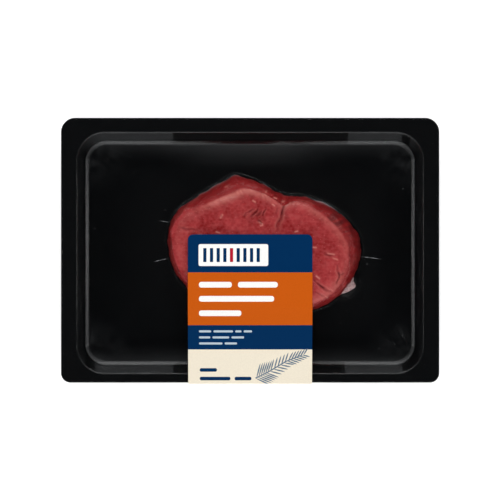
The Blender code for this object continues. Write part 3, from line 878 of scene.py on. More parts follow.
def make_flap(material):
    """The flap of fat under the steak's right front, lumpy and thin at its edge."""
    rows = FLAP_ROW + FLAP_HALF_ROWS * 0.97 * np.linspace(-1, 1, FLAP_STATIONS)
    here = outline_rows(rows)[:, :2]
    out = outwards(rows)
    reach = np.interp(rows - FLAP_ROW, *zip(*FLAP_EDGE)) * MM
    high = FLAP_HEIGHT * (0.4 + 0.6 * flap_share(rows))
    vertices = []
    for i in range(FLAP_STATIONS):
        for step in range(FLAP_STEPS + 1):
            share = step / FLAP_STEPS
            bulge = math.sin(math.pi * min(1, share * 0.5 + 0.5)) ** 0.5
            xy = here[i] + out[i] * (-FLAP_ROOT + (reach[i] + FLAP_ROOT) * share)
            vertices.append((*xy, STEAK_BASE + high[i] * max(bulge, FLAP_THIN_EDGE)))
        vertices.append((*(here[i] + out[i] * reach[i]), STEAK_BASE))
        vertices.append((*(here[i] - out[i] * FLAP_ROOT), STEAK_BASE))
    places = np.array(vertices)
    free = places[:, 2] > STEAK_BASE + 0.3 * MM
    places[:, 2] += np.where(free, layered(places / MM, FLAP_LUMPS), 0) * MM
    size = FLAP_STEPS + 3
    faces = []
    for i in range(FLAP_STATIONS - 1):
        faces += [tuple(reversed(face)) for face in ring_faces(i * size, (i + 1) * size, size)]
    faces.append(tuple(range(size)))
    faces.append(tuple(reversed(range((FLAP_STATIONS - 1) * size, FLAP_STATIONS * size))))
    flap = mesh_object("fat_scrap", places, faces, [material])
    builder = bmesh.new()
    builder.from_mesh(flap.data)
    bmesh.ops.recalc_face_normals(builder, faces=builder.faces)
    if builder.calc_volume(signed=True) < 0:
        bmesh.ops.reverse_faces(builder, faces=builder.faces)
    builder.to_mesh(flap.data)
    builder.free()
    return flap


# Film


def bridged(relief):
    """Relief as the film shows it: smoothed across fine hollows, and hardly under the meat's own."""
    eased = relief
    for _ in range(BRIDGING_ROUNDS):
        around = (np.roll(eased, 1, axis=1) + np.roll(eased, -1, axis=1)) / 2
        along = (np.vstack((eased[:1], eased[:-1])) + np.vstack((eased[1:], eased[-1:]))) / 2
        eased = 0.5 * eased + 0.25 * around + 0.25 * along
    return np.maximum(eased, relief - FILM_SINK)


def web_rows(row, point, out, tent):
    """The film's rows from the floor up to where it meets the meat, out over the flap of fat."""
    rows = []
    for (height, reach, flap), off in zip(FILM_WEB, TENT_SHAPE):
        over_flap = flap * (FLAP_REACH + FLAP_START) * flap_share(row, FLAP_COVER)
        xy = point + out * (reach * MM + over_flap + tent * off * MM)[:, None]
        rows.append(np.column_stack((xy, np.full(len(xy), FLOOR + FILM_OFFSET + height * MM))))
    return np.array(rows)


def film_surface():
    """The film's middle surface round and over the meat, as rings from the floor up.

    With the rings come how milky the film is at each point, with the line at its foot and the gleams along
    the meat's edge painted in as highlights, and 1 where it clings to the meat.
    """
    stations, coarse, knots, at, _, relief, _ = meat_surface(FILM_STATIONS, FILM_ROW_SPACING)
    row, point, out, _ = stations
    tent = humps(row, TENTS)
    tent *= 1 + layered(np.column_stack((point / MM, row * 0)), TENT_FLUTTER)
    web = web_rows(row, point, out, tent)
    lifted = coarse[UNDER_FILM:] + normals_of(coarse)[UNDER_FILM:] * FILM_OFFSET
    for k, off in enumerate(TENT_SHAPE[len(FILM_WEB) :]):
        lifted[k, :, :2] += out * (tent * off * MM)[:, None]
    rows = np.concatenate((web, lifted))
    shift = knots_of(rows)[len(web)] - knots[UNDER_FILM]
    film_knots = np.concatenate((knots_of(rows)[: len(web)], knots[UNDER_FILM:] + shift))
    shared = at[at >= knots[UNDER_FILM]]
    lower = np.linspace(0, shared[0] + shift, WEB_ROWS)[:-1]
    surface = refine(rows, film_knots, np.concatenate((lower, shared + shift)))
    eased = bridged(relief[at >= knots[UNDER_FILM]])
    ramp = 0.5 * np.linspace(0, 1, len(lower))[:, None] * eased[0]
    surface += normals_of(surface) * np.concatenate((ramp, eased))[..., None] * MM
    up = (surface[..., 2] - FLOOR - FILM_OFFSET) / MM
    haze = MEAT_HAZE + WEB_PAINTED_HIGHLIGHT * bell(up - WEB_LINE_HEIGHT, WEB_LINE_HALF)
    haze += humps(row, GLEAMS) * bell(up - GLEAM_HEIGHT, GLEAM_HALF)
    cling = np.zeros(surface.shape[:2])
    cling[len(lower) :] = 1.0
    return surface, haze, cling


def tray_rings():
    """The film's rings from the flange's edge down to the floor, each with its haze at every point."""
    high = TRAY_HEIGHT + FILM_OFFSET
    rings = [(flange_ring(FILM_INSET + inset, high), FLANGE_HAZE, FLANGE_HAZE) for inset in (0, SUPPORT)]
    profile = wall_profile(FILM_OFFSET)
    for (inset, height), (long_side, end) in zip(profile, WALL_HAZE):
        rings.append((well_ring(inset, height), long_side, end))
    for beyond, share in FLOOR_HAZE:
        rings.append((well_ring(profile[-1].x + beyond * MM, FLOOR + FILM_OFFSET), share, 0.0))
    for ring, long_side, end in rings:
        haze = []
        for i in range(len(ring)):
            corner, step = divmod(i, CORNER_STEPS + 1)
            facing = abs(math.sin(math.radians(90 * (corner - 1 + step / CORNER_STEPS)))) ** 3
            haze.append(end + (long_side - end) * facing)
        yield ring, haze, [0.0] * len(ring)


def make_film(material):
    """The skin film as one closed sheet, from the edge of the flange to the top of the steak."""
    builder = bmesh.new()
    haze_layer = builder.verts.layers.float.new("haze")
    cling_layer = builder.verts.layers.float.new("cling")
    surface, haze, cling = film_surface()
    parts = []
    for rings in (tray_rings(), zip(surface, haze, cling)):
        part = []
        for points, milky, tight in rings:
            part.append([builder.verts.new(point) for point in points])
            for vertex, vertex_haze, vertex_cling in zip(part[-1], milky, tight):
                vertex[haze_layer] = vertex_haze
                vertex[cling_layer] = vertex_cling
        parts.append(part)
    for part in parts:
        for outer, inner in zip(part, part[1:]):
            for i in range(len(outer)):
                j = (i + 1) % len(outer)
                builder.faces.new((outer[i], outer[j], inner[j], inner[i]))
    top = parts[1][-1]
    crown = builder.verts.new(surface[-1].mean(axis=0))
    crown[cling_layer] = 1.0
    for first, second in zip(top, top[1:] + top[:1]):
        builder.faces.new((first, second, crown))
    edges = []
    for ring in (parts[0][-1], parts[1][0]):
        edges += [builder.edges.get(pair) for pair in zip(ring, ring[1:] + ring[:1])]
    bmesh.ops.triangle_fill(builder, use_beauty=True, edges=edges, normal=(0, 0, 1))
    bmesh.ops.recalc_face_normals(builder, faces=builder.faces)
    bmesh.ops.translate(builder, vec=TRAY_SHIFT, verts=builder.verts)
    mesh = bpy.data.meshes.new("skin_film")
    builder.to_mesh(mesh)
    builder.free()
    mesh.shade_smooth()
    mesh.materials.append(material)
    film = new_object("skin_film", mesh)
    thickened(film, FILM, 0)
    return film


def rib_tree():
    """Geometry Nodes for ribs along routes given as edges, thickest half way and tapered to both ends."""
    tree = bpy.data.node_groups.new("film creases", "GeometryNodeTree")
    sockets = {"Routes": "Geometry", "Spacing": "Float", "Half thickness": "Float", "Finish": "Material"}
    for name, kind in sockets.items():
        tree.interface.new_socket(name, in_out="INPUT", socket_type="NodeSocket" + kind)
    tree.interface.new_socket("Ribs", in_out="OUTPUT", socket_type="NodeSocketGeometry")
    given = add(tree, "NodeGroupInput").outputs
    route = add(tree, "GeometryNodeMeshToCurve", {"Mesh": given["Routes"]})
    route = {"Curve": route, "Length": given["Spacing"]}
    route = add(tree, "GeometryNodeResampleCurve", route, mode="LENGTH")
    share = add(tree, "GeometryNodeSplineParameter").outputs["Factor"]
    swell = add(tree, "ShaderNodeMath", {0: share, 1: math.pi}, operation="MULTIPLY")
    swell = add(tree, "ShaderNodeMath", {0: swell}, operation="SINE")
    swell = add(tree, "ShaderNodeMath", {0: swell, 1: CREASE_TIP}, operation="MAXIMUM")
    swell = add(tree, "ShaderNodeMath", {0: swell, 1: given["Half thickness"]}, operation="MULTIPLY")
    section = {"Resolution": CREASE_SIDES, "Radius": 1.0}
    section = add(tree, "GeometryNodeCurvePrimitiveCircle", section)
    sweep = {"Curve": route, "Profile Curve": section, "Scale": swell, "Fill Caps": True}
    ribs = add(tree, "GeometryNodeSetShadeSmooth", {"Geometry": add(tree, "GeometryNodeCurveToMesh", sweep)})
    ribs = add(tree, "GeometryNodeRealizeInstances", {"Geometry": ribs})
    ribs = add(tree, "GeometryNodeSetMaterial", {"Geometry": ribs, "Material": given["Finish"]})
    add(tree, "NodeGroupOutput", {"Ribs": ribs})
    return tree


def make_creases(material):
    """The creases that the film gathers in where it leaves the steak."""
    vertices = []
    edges = []
    for route in CREASES:
        start = len(vertices)
        vertices += [(x * MM, y * MM, FLOOR + FILM_OFFSET + FILM / 2 + up * MM) for x, y, up in route]
        edges += [(k, k + 1) for k in range(start, len(vertices) - 1)]
    mesh = bpy.data.meshes.new("film_creases")
    mesh.from_pydata([Vector(point) + TRAY_SHIFT for point in vertices], edges, [])
    creases = new_object("film_creases", mesh)
    ribs = creases.modifiers.new("ribs", "NODES")
    ribs.node_group = rib_tree()
    inputs = {"Spacing": CREASE_SPACING, "Half thickness": CREASE_HALF, "Finish": material}
    for socket in ribs.node_group.interface.items_tree:
        if socket.name in inputs:
            ribs[socket.identifier] = inputs[socket.name]
    applied(creases)
    return creases


# Label


def label_path(node):
    """The outer line of the label in section, from its far end over the front edge to its tail."""
    matrix = node.matrix_world
    places = [matrix @ vertex.co for vertex in node.data.vertices]
    points = sorted({(round(place.y, 6), round(place.z, 6)) for place in places})
    hull = [Vector(points[i]) for i in convex_hull_2d([Vector(point) for point in points])]
    start = max(range(len(hull)), key=lambda i: hull[i].x + hull[i].y)
    hull = hull[start:] + hull[:start]
    if hull[1].y < hull[-1].y:
        hull = [hull[0], *reversed(hull[1:])]
    while hull[-1].y > LABEL_TAIL:
        hull.pop()
    return hull


def rounded(points, radius, steps=5):
    """Points of a closed outline with its corners cut to a round."""
    result = []
    count = len(points)
    for i, point in enumerate(points):
        here = Vector(point)
        first = here + (Vector(points[i - 1]) - here).normalized() * radius
        last = here + (Vector(points[(i + 1) % count]) - here).normalized() * radius
        for step in range(steps + 1):
            t = step / steps
            result.append(first.lerp(here, t).lerp(here.lerp(last, t), t))
    return result


def counter_clockwise(points):
    """An outline in the order that the triangulation wants."""
    area = sum(a.x * b.y - b.x * a.y for a, b in zip(points, points[1:] + points[:1]))
    return points if area > 0 else points[::-1]


def box(left, right, low, high):
    """The corners of an upright rectangle."""
    return [(left, low), (right, low), (right, high), (left, high)]


def leaf(place, angle, length):
    """A narrow leaf as an outline of eight points."""
    along = Vector((math.cos(angle), math.sin(angle)))
    across = Vector((-along.y, along.x)) * LEAF_WIDTH / 2
    return [place + along * length * t + across * w for t, w in LEAF_SHAPE]


def sprig():
    """A leafy sprig, drawn as the outlines of its leaves and then of its stem."""
    stem = [Vector(point) for point in STEM]
    pieces = len(stem) - 1
    outlines = []
    for k in range(LEAF_PAIRS):
        share = k / (LEAF_PAIRS - 1)
        piece = min(int(share * pieces), pieces - 1)
        first, second = stem[piece], stem[piece + 1]
        here = first.lerp(second, share * pieces - piece)
        heading = math.atan2((second - first).y, (second - first).x)
        spread = math.radians(LEAF_ANGLE - LEAF_CLOSING * share)
        length = LEAF_LENGTH * (1 - LEAF_SHORTENING * share)
        outlines.append(leaf(here + Vector((LEAF_STAGGER, 0)), heading + spread, length))
        outlines.append(leaf(here, heading - spread, length))
    half = Vector(STEM_HALF)
    outlines.append([point + half for point in stem] + [point - half for point in reversed(stem)])
    return outlines


def printed_shapes():
    """The label's print as (ink, outline) in mm as seen from above, each over the ones before it."""
    shapes = [
        ("navy", box(-LABEL_HALF, LABEL_HALF, NAVY_END, NAVY_START)),
        ("orange", box(-LABEL_HALF, LABEL_HALF, ORANGE_END, NAVY_END)),
        ("navy", box(-LABEL_HALF, LABEL_HALF, SECOND_NAVY_END, ORANGE_END)),
        ("white", rounded(box(*PANEL[:4]), PANEL[4])),
    ]
    left, right, low, high, corner = PANEL_BAR
    for k in range(PANEL_BARS):
        along = k * PANEL_SPACING
        ink = "red" if k == RED_BAR else "navy"
        shapes.append((ink, rounded(box(left + along, right + along, low, high), corner)))
    for ink, middle, half, *bars in LINES:
        for left, right in bars:
            shapes.append((ink, rounded(box(left, right, middle - half, middle + half), half)))
    return shapes + [("sprig", outline) for outline in sprig()]


def make_label(node, inks):
    """The label: flat print cut into regions, bent along the label's path and given its thickness."""
    path = label_path(node)
    lengths = [0.0]
    for first, second in zip(path, path[1:]):
        lengths.append(lengths[-1] + (second - first).length)
    ys = [(point.x - TRAY_SHIFT.y) / MM for point in path]
    front = ys.index(min(ys))

    def along(y):
        """The way along the label to a line seen from above at y."""
        return float(np.interp(-y, [-v for v in ys[: front + 1]], lengths[: front + 1])) / MM

    sheet = rounded(box(-LABEL_HALF, LABEL_HALF, 0, lengths[-1] / MM), LABEL_CORNER, 8)
    regions = [("cream", [Vector(point) for point in sheet])]
    for ink, outline in printed_shapes():
        outline = [Vector((x, along(y))) for x, y in outline]
        regions.append((ink, counter_clockwise(outline)))
    points = [point for _, outline in regions for point in outline]
    faces = []
    start = 0
    for _, outline in regions:
        faces.append(list(range(start, start + len(outline))))
        start += len(outline)
    edges = []
    for bend in lengths[1:-1]:
        edges.append((len(points), len(points) + 1))
        points += [Vector((-LABEL_HALF - 1, bend / MM)), Vector((LABEL_HALF + 1, bend / MM))]
    flat, _, triangles, _, _, sources = delaunay_2d_cdt(points, edges, faces, 0, 0.02)
    placed = []
    for x, s in flat:
        s = min(max(s * MM, 0.0), lengths[-1])
        k = max(1, min(int(np.searchsorted(lengths, s)), len(lengths) - 1))
        y, z = path[k - 1].lerp(path[k], (s - lengths[k - 1]) / (lengths[k] - lengths[k - 1]))
        placed.append((x * MM, y - TRAY_SHIFT.y, z))
    names = list(inks)
    kept = []
    used = []
    for triangle, source in zip(triangles, sources):
        if 0 in source:
            kept.append(tuple(triangle))
            used.append(names.index(regions[max(source)][0]))
    label = mesh_object("paper_label", placed, kept, list(inks.values()))
    label.data.polygons.foreach_set("material_index", used)
    face_up(label)
    thickened(label, LABEL, -1, len(inks))
    label.data.set_sharp_from_angle(angle=LABEL_CREASE)
    return label


def face_up(sheet):
    """Clears stray points and slivers from a flat sheet and turns its faces so that its top faces up."""
    builder = bmesh.new()
    builder.from_mesh(sheet.data)
    loose = [vertex for vertex in builder.verts if not vertex.link_faces]
    bmesh.ops.delete(builder, geom=loose, context="VERTS")
    bmesh.ops.dissolve_degenerate(builder, dist=0.01 * MM, edges=builder.edges)
    bmesh.ops.recalc_face_normals(builder, faces=builder.faces)
    top = max(builder.faces, key=lambda face: face.calc_center_median().z)
    if top.normal.z < 0:
        bmesh.ops.reverse_faces(builder, faces=builder.faces)
    builder.to_mesh(sheet.data)
    builder.free()


# Materials


def tray_plastic():
    """Polypropylene sheet, black all through and drawn over a satin mould.

    It is near black and dull, with a grain that only just breaks its reflections up.
    """
    material, tree = blank_material("black thermoformed polypropylene")
    place = add(tree, "ShaderNodeTexCoord").outputs["Object"]
    clouds = add(tree, "ShaderNodeTexNoise", {"Vector": place, "Scale": 1 / (9 * MM), "Detail": 3.0})
    black = {0: clouds, 6: linear("#030406"), 7: linear("#070809")}
    grain = add(tree, "ShaderNodeTexNoise", {"Vector": place, "Scale": 1 / (0.35 * MM)})
    shader = {
        "Base Color": add(tree, "ShaderNodeMix", black, data_type="RGBA"),
        "Roughness": 0.42,
        "Specular IOR Level": 0.15,
        "Normal": add(tree, "ShaderNodeBump", {"Height": grain, "Distance": 0.004 * MM}),
    }
    add(tree, "ShaderNodeOutputMaterial", {"Surface": add(tree, "ShaderNodeBsdfPrincipled", shader)})
    return material


def raw_beef():
    """Lean beef cut across its grain: bundles of fibres with paler edges, a pale rim that is partly a
    painted highlight, and a deeper red side that is partly painted shade.

    The attributes of the mesh say where it is light or dark, on its side, pale with fibre ends, fat, painted
    glints and the film's highlight painted on the rim, and in painted shade: in the grooves, the cleft and
    the stretches of side that are lit less. The bundles are drawn 1.5 mm wide, so that they show.
    """
    material, tree = blank_material("raw beef cut across the grain")
    place = add(tree, "ShaderNodeTexCoord").outputs["Object"]
    shares = {}
    for name in ("tone", "side", "pale", "dark"):
        shares[name] = add(tree, "ShaderNodeAttribute", attribute_name=name).outputs["Fac"]
    along = {"Vector": place, "Rotation": (0, 0, 0.15), "Scale": (1, 4.5, 1)}
    along = add(tree, "ShaderNodeMapping", along)
    grain = add(tree, "ShaderNodeTexNoise", {"Vector": along, "Scale": 1 / (5 * MM), "Detail": 3.0})
    bundles = add(tree, "ShaderNodeTexVoronoi", {"Vector": place, "Scale": 1 / (1.5 * MM)})
    upright = add(tree, "ShaderNodeMapping", {"Vector": place, "Scale": (1, 1, 0.12)})
    fibres = add(tree, "ShaderNodeTexNoise", {"Vector": upright, "Scale": 1 / (1.6 * MM)})
    on_side = add(tree, "ShaderNodeMath", {0: shares["side"], 1: fibres}, operation="MULTIPLY")
    lean = {0: shares["tone"], 6: linear("#760a0e"), 7: linear("#9e3436")}
    lean = add(tree, "ShaderNodeMix", lean, data_type="RGBA")
    for source, low, high, amount, shade in (
        (grain, 0.45, 0.75, 0.3, "#aa4446"),
        (bundles, 0.35, 0.75, 0.16, "#bc6060"),
        # The side's deeper red: partly the meat's own colour and partly painted shade, as the side is lit
        # less than the top
        (shares["side"], 0.0, 1.0, 0.9, "#841517"),
        (on_side, 0.5, 0.75, 0.3, "#a43032"),
        # Pale fibre ends and fat, with the film's highlight painted on the rim and painted glints
        (shares["pale"], 0.0, 1.0, 1.0, "#cf8278"),
        # Painted shade: in the grooves and the cleft, and on stretches of the side that are lit less
        (shares["dark"], 0.0, 1.0, 0.9, "#480c10"),
    ):
        share = {"Value": source, "From Min": low, "From Max": high, "To Max": amount}
        layers = {0: add(tree, "ShaderNodeMapRange", share), 6: lean, 7: linear(shade)}
        lean = add(tree, "ShaderNodeMix", layers, data_type="RGBA")
    fine = add(tree, "ShaderNodeTexNoise", {"Vector": place, "Scale": 1 / (0.9 * MM), "Detail": 3.0})
    cells = add(tree, "ShaderNodeBump", {"Height": bundles, "Distance": 0.05 * MM})
    shader = {
        "Base Color": lean,
        "Roughness": 0.5,
        "Specular IOR Level": 0.2,
        "Subsurface Weight": 0.12,
        "Subsurface Radius": (0.002, 0.0006, 0.0004),
        "Normal": add(tree, "ShaderNodeBump", {"Height": fine, "Distance": 0.12 * MM, "Normal": cells}),
    }
    add(tree, "ShaderNodeOutputMaterial", {"Surface": add(tree, "ShaderNodeBsdfPrincipled", shader)})
    return material


def beef_fat():
    """Hard outer fat: greyish pink, with flecks of lean left on it."""
    material, tree = blank_material("beef fat")
    place = add(tree, "ShaderNodeTexCoord").outputs["Object"]
    flecks = add(tree, "ShaderNodeTexNoise", {"Vector": place, "Scale": 1 / (0.8 * MM), "Detail": 3.0})
    flecks = add(tree, "ShaderNodeMapRange", {"Value": flecks, "From Min": 0.5, "From Max": 0.7})
    colours = {0: flecks, 6: linear("#caaaab"), 7: linear("#6f4444")}
    lumps = add(tree, "ShaderNodeTexNoise", {"Vector": place, "Scale": 1 / (1.2 * MM)})
    shader = {
        "Base Color": add(tree, "ShaderNodeMix", colours, data_type="RGBA"),
        "Roughness": 0.45,
        "Subsurface Weight": 0.1,
        "Subsurface Radius": (0.002, 0.001, 0.0008),
        "Normal": add(tree, "ShaderNodeBump", {"Height": lumps, "Distance": 0.1 * MM}),
    }
    add(tree, "ShaderNodeOutputMaterial", {"Surface": add(tree, "ShaderNodeBsdfPrincipled", shader)})
    return material


def walls_in_painted_shadow(tree, parts, haze):
    """The haze darkened by painted shadows on stretches of the long walls: across their middles, where the
    steak and the label keep the lamps off, and near the corners.
    """
    in_tray = add(tree, "ShaderNodeMath", {0: parts["Z"], 1: SHADOWS_UP_TO}, operation="LESS_THAN")
    for centre, half, side, start in PAINTED_WALL_SHADOWS:
        along = {0: parts["X"], 1: centre * MM, 2: half * MM}
        here = add(tree, "ShaderNodeMath", along, operation="COMPARE")
        on_wall = {0: parts["Y"], 1: side * WALL_MIDDLE, 2: WALL_HALF}
        on_wall = add(tree, "ShaderNodeMath", on_wall, operation="COMPARE")
        above = {0: parts["Z"], 1: FLOOR + start * MM}
        above = add(tree, "ShaderNodeMath", above, operation="GREATER_THAN")
        for also in (on_wall, above, in_tray):
            here = add(tree, "ShaderNodeMath", {0: here, 1: also}, operation="MULTIPLY")
        left = add(tree, "ShaderNodeMath", {0: here, 1: -SHADOWED_SHARE, 2: 1.0}, operation="MULTIPLY_ADD")
        haze = add(tree, "ShaderNodeMath", {0: haze, 1: left}, operation="MULTIPLY")
    return haze


def floor_painted_glow(tree, parts, folded):
    """A painted glow of reflected light in the haze on the floor: along both long walls, and wider in the
    middle of the far one.
    """
    away = add(tree, "ShaderNodeSeparateXYZ", {0: folded}).outputs
    aside = {"Value": away["X"], "From Min": 45 * MM, "From Max": 84 * MM, "To Min": 0.24, "To Max": 0.03}
    aside = add(tree, "ShaderNodeMapRange", aside)
    deep = {"Value": away["Y"], "From Min": 46 * MM, "From Max": 57 * MM}
    deep = add(tree, "ShaderNodeMapRange", deep)
    deep = add(tree, "ShaderNodeMath", {0: deep, 1: 2.0}, operation="POWER")
    edges = add(tree, "ShaderNodeMath", {0: aside, 1: deep}, operation="MULTIPLY")
    far = {"Value": parts["Y"], "From Min": 42 * MM, "From Max": 58 * MM, "To Max": 0.75}
    far = add(tree, "ShaderNodeMapRange", far, interpolation_type="SMOOTHSTEP")
    middle = {"Value": away["X"], "From Min": 10 * MM, "From Max": 50 * MM, "To Min": 1.0, "To Max": 0.0}
    middle = add(tree, "ShaderNodeMapRange", middle, interpolation_type="SMOOTHSTEP")
    patch = add(tree, "ShaderNodeMath", {0: far, 1: middle}, operation="MULTIPLY")
    return add(tree, "ShaderNodeMath", {0: edges, 1: patch}, operation="ADD")


def pull_lines(tree, place, folded):
    """Lines that fan out from each corner of the floor, where the film was drawn the furthest."""
    flat = {0: folded, 1: (-1, -1, 0), 2: FAN_ORIGIN}
    flat = add(tree, "ShaderNodeVectorMath", flat, operation="MULTIPLY_ADD")
    reach = add(tree, "ShaderNodeVectorMath", {0: flat}, operation="LENGTH")
    sides = add(tree, "ShaderNodeSeparateXYZ", {0: flat}).outputs
    turn = add(tree, "ShaderNodeMath", {0: sides["Y"], 1: sides["X"]}, operation="ARCTAN2")
    # Each corner reads another stretch of the noise, so that no two fans are alike
    corner = add(tree, "ShaderNodeVectorMath", {0: place}, operation="SIGN")
    corner = add(tree, "ShaderNodeVectorMath", {0: corner, "Scale": 5.0}, operation="SCALE")
    spokes = {0: add(tree, "ShaderNodeCombineXYZ", {0: turn}), 1: (1 / FAN_ANGLE, 0, 0), 2: corner}
    spokes = add(tree, "ShaderNodeVectorMath", spokes, operation="MULTIPLY_ADD")
    spokes = add(tree, "ShaderNodeTexNoise", {"Vector": spokes, "Scale": 1.0, "Detail": 2.0})
    spokes = {"Value": spokes, "From Min": 0.35, "From Max": 0.8, "To Min": 0.12, "To Max": 0.7}
    spokes = add(tree, "ShaderNodeMapRange", spokes)
    clouds = add(tree, "ShaderNodeTexNoise", {"Vector": place, "Scale": 1 / (6 * MM), "Detail": 2.0})
    clouds = {"Value": clouds, "From Min": 0.35, "From Max": 0.65, "To Min": 0.1}
    clouds = add(tree, "ShaderNodeMapRange", clouds)
    spokes = add(tree, "ShaderNodeMath", {0: spokes, 1: clouds}, operation="MULTIPLY")
    near, far = FAN_REACH
    fading = {"Value": reach, "From Min": near, "From Max": far, "To Min": 1.0, "To Max": 0.0}
    fading = add(tree, "ShaderNodeMapRange", fading, interpolation_type="SMOOTHSTEP")
    return add(tree, "ShaderNodeMath", {0: spokes, 1: fading}, operation="MULTIPLY")


def film_haze(tree, place):
    """How milky the film is: most where it was drawn thin over the tray's edges and into its corners. The
    haze also carries painted light: reflections and highlight lines on the walls, a glow on the floor, and
    shadows on the long walls.
    """
    centred = add(tree, "ShaderNodeVectorMath", {0: place, 1: (0, -WELL_MIDDLE, 0)})
    folded = add(tree, "ShaderNodeVectorMath", {0: centred}, operation="ABSOLUTE")
    parts = add(tree, "ShaderNodeSeparateXYZ", {0: place}).outputs
    haze = add(tree, "ShaderNodeAttribute", attribute_name="haze").outputs["Fac"]
    haze = walls_in_painted_shadow(tree, parts, haze)
    on_floor = floor_painted_glow(tree, parts, folded)
    specks = add(tree, "ShaderNodeTexVoronoi", {"Vector": place, "Scale": 1 / (7 * MM)})
    specks = {"Value": specks, "From Max": 0.06, "To Min": 2.0, "To Max": 0.0}
    for more in (pull_lines(tree, place, folded), add(tree, "ShaderNodeMapRange", specks)):
        on_floor = add(tree, "ShaderNodeMath", {0: on_floor, 1: more}, operation="ADD")
    low = {"Value": parts["Z"], "From Min": FLOOR + 0.8 * MM, "From Max": FLOOR + 1.0 * MM}
    low = add(tree, "ShaderNodeMapRange", low | {"To Min": 1.0, "To Max": 0.0})
    return add(tree, "ShaderNodeMath", {0: on_floor, 1: low, 2: haze}, operation="MULTIPLY_ADD")


def skin_film():
    """Clear film shrunk on by vacuum: it shows as thin lines of light and, where drawn thin, as haze, which
    also carries painted highlights, glow and shadows.
    """
    material, tree = blank_material("clear vacuum skin film")
    place = add(tree, "ShaderNodeTexCoord").outputs["Object"]
    waves_in_it = add(tree, "ShaderNodeTexNoise", {"Vector": place, "Scale": 1 / (2.2 * MM)})
    ripples = add(tree, "ShaderNodeBump", {"Height": waves_in_it, "Distance": 0.012 * MM})
    gloss = {"Color": (1, 1, 1, 1), "Roughness": 0.13, "Normal": ripples}
    gloss = add(tree, "ShaderNodeBsdfAnisotropic", gloss)
    # The gloss of one clear face, held down at grazing angles and where the film is stuck to the wet meat
    mirror = add(tree, "ShaderNodeFresnel", {"IOR": 1.45, "Normal": ripples})
    mirror = {"Value": mirror, "From Min": 0.03, "From Max": 0.4, "To Min": 0.035, "To Max": 0.12}
    mirror = add(tree, "ShaderNodeMapRange", mirror)
    cling = add(tree, "ShaderNodeAttribute", attribute_name="cling").outputs["Fac"]
    cling = add(tree, "ShaderNodeMapRange", {"Value": cling, "To Min": 1.0, "To Max": 0.3})
    mirror = add(tree, "ShaderNodeMath", {0: mirror, 1: cling}, operation="MULTIPLY")
    # Only the faces turned to the viewer are glossy or milky, so that nothing is counted twice
    behind = add(tree, "ShaderNodeNewGeometry").outputs["Backfacing"]
    front = add(tree, "ShaderNodeMapRange", {"Value": behind, "To Min": 1.0, "To Max": 0.0})
    mirror = add(tree, "ShaderNodeMath", {0: mirror, 1: front}, operation="MULTIPLY")
    clear = add(tree, "ShaderNodeBsdfTransparent", {"Color": (1, 1, 1, 1)})
    shiny = add(tree, "ShaderNodeMixShader", {0: mirror, 1: clear, 2: gloss})
    # The milky part, which also shows the highlights, glow and shadows painted into the haze
    milky = add(tree, "ShaderNodeBsdfDiffuse", {"Color": linear("#e8ecf0")})
    haze = add(tree, "ShaderNodeMath", {0: film_haze(tree, place), 1: front}, operation="MULTIPLY")
    haze = add(tree, "ShaderNodeMath", {0: haze, 1: MILK}, operation="MULTIPLY")
    film = add(tree, "ShaderNodeMixShader", {0: haze, 1: shiny, 2: milky})
    add(tree, "ShaderNodeOutputMaterial", {"Surface": film})
    return material


def drawn_film():
    """The same film gathered in a crease, several layers deep: faintly milky, and more so in patches."""
    material, tree = blank_material("film gathered in a crease")
    place = add(tree, "ShaderNodeTexCoord").outputs["Object"]
    uneven = add(tree, "ShaderNodeTexNoise", {"Vector": place, "Scale": 1 / (1.5 * MM)})
    uneven = {"Value": uneven, "From Min": 0.3, "From Max": 0.7, "To Max": 0.2}
    uneven = add(tree, "ShaderNodeMapRange", uneven)
    clear = add(tree, "ShaderNodeBsdfTransparent", {"Color": (1, 1, 1, 1)})
    milky = add(tree, "ShaderNodeBsdfPrincipled", {"Base Color": linear("#e8ecf0"), "Roughness": 0.3})
    film = add(tree, "ShaderNodeMixShader", {0: uneven, 1: clear, 2: milky})
    add(tree, "ShaderNodeOutputMaterial", {"Surface": film})
    return material


def printed_paper(name, colour, roughness=0.5):
    """Coated paper under a coat of ink: an even colour with the fibres just felt through it."""
    material, tree = blank_material(name)
    place = add(tree, "ShaderNodeTexCoord").outputs["Object"]
    fibres = add(tree, "ShaderNodeTexNoise", {"Vector": place, "Scale": 1 / (0.6 * MM)})
    shade = tuple(0.85 * value for value in linear(colour)[:3])
    colours = {0: fibres, 6: linear(colour), 7: (*shade, 1.0)}
    shader = {
        "Base Color": add(tree, "ShaderNodeMix", colours, data_type="RGBA"),
        "Roughness": roughness,
        "Specular IOR Level": 0.06,
        "Normal": add(tree, "ShaderNodeBump", {"Height": fibres, "Distance": 0.004 * MM}),
    }
    add(tree, "ShaderNodeOutputMaterial", {"Surface": add(tree, "ShaderNodeBsdfPrincipled", shader)})
    return material


def label_inks():
    """The label's inks by name, and last its bare back."""
    return {
        "cream": printed_paper("cream printed paper", "#f0e6d2"),
        "navy": printed_paper("navy ink on paper", "#002c56"),
        "orange": printed_paper("orange ink on paper", "#c85910"),
        "white": printed_paper("white ink on paper", "#fbfaf7"),
        "grey": printed_paper("blue grey ink on paper", "#b9c8d4"),
        "red": printed_paper("red ink on paper", "#b3152c"),
        "sprig": printed_paper("slate ink on paper", "#5c7286"),
        "paper": printed_paper("bare paper back", "#ece9e2", 0.8),
    }


# Light and camera


def panel(name, place, target, size, radiance, shiny=True):
    """An area light that faces its target, by the brightness of its surface."""
    light = bpy.data.lights.new(name, "AREA")
    light.shape = "RECTANGLE"
    light.size, light.size_y = size
    light.energy = radiance * math.pi * size[0] * size[1]
    lamp = new_object(name, light)
    lamp.location = place
    lamp.rotation_euler = (Vector(target) - Vector(place)).to_track_quat("-Z", "Y").to_euler()
    lamp.visible_glossy = shiny
    return lamp


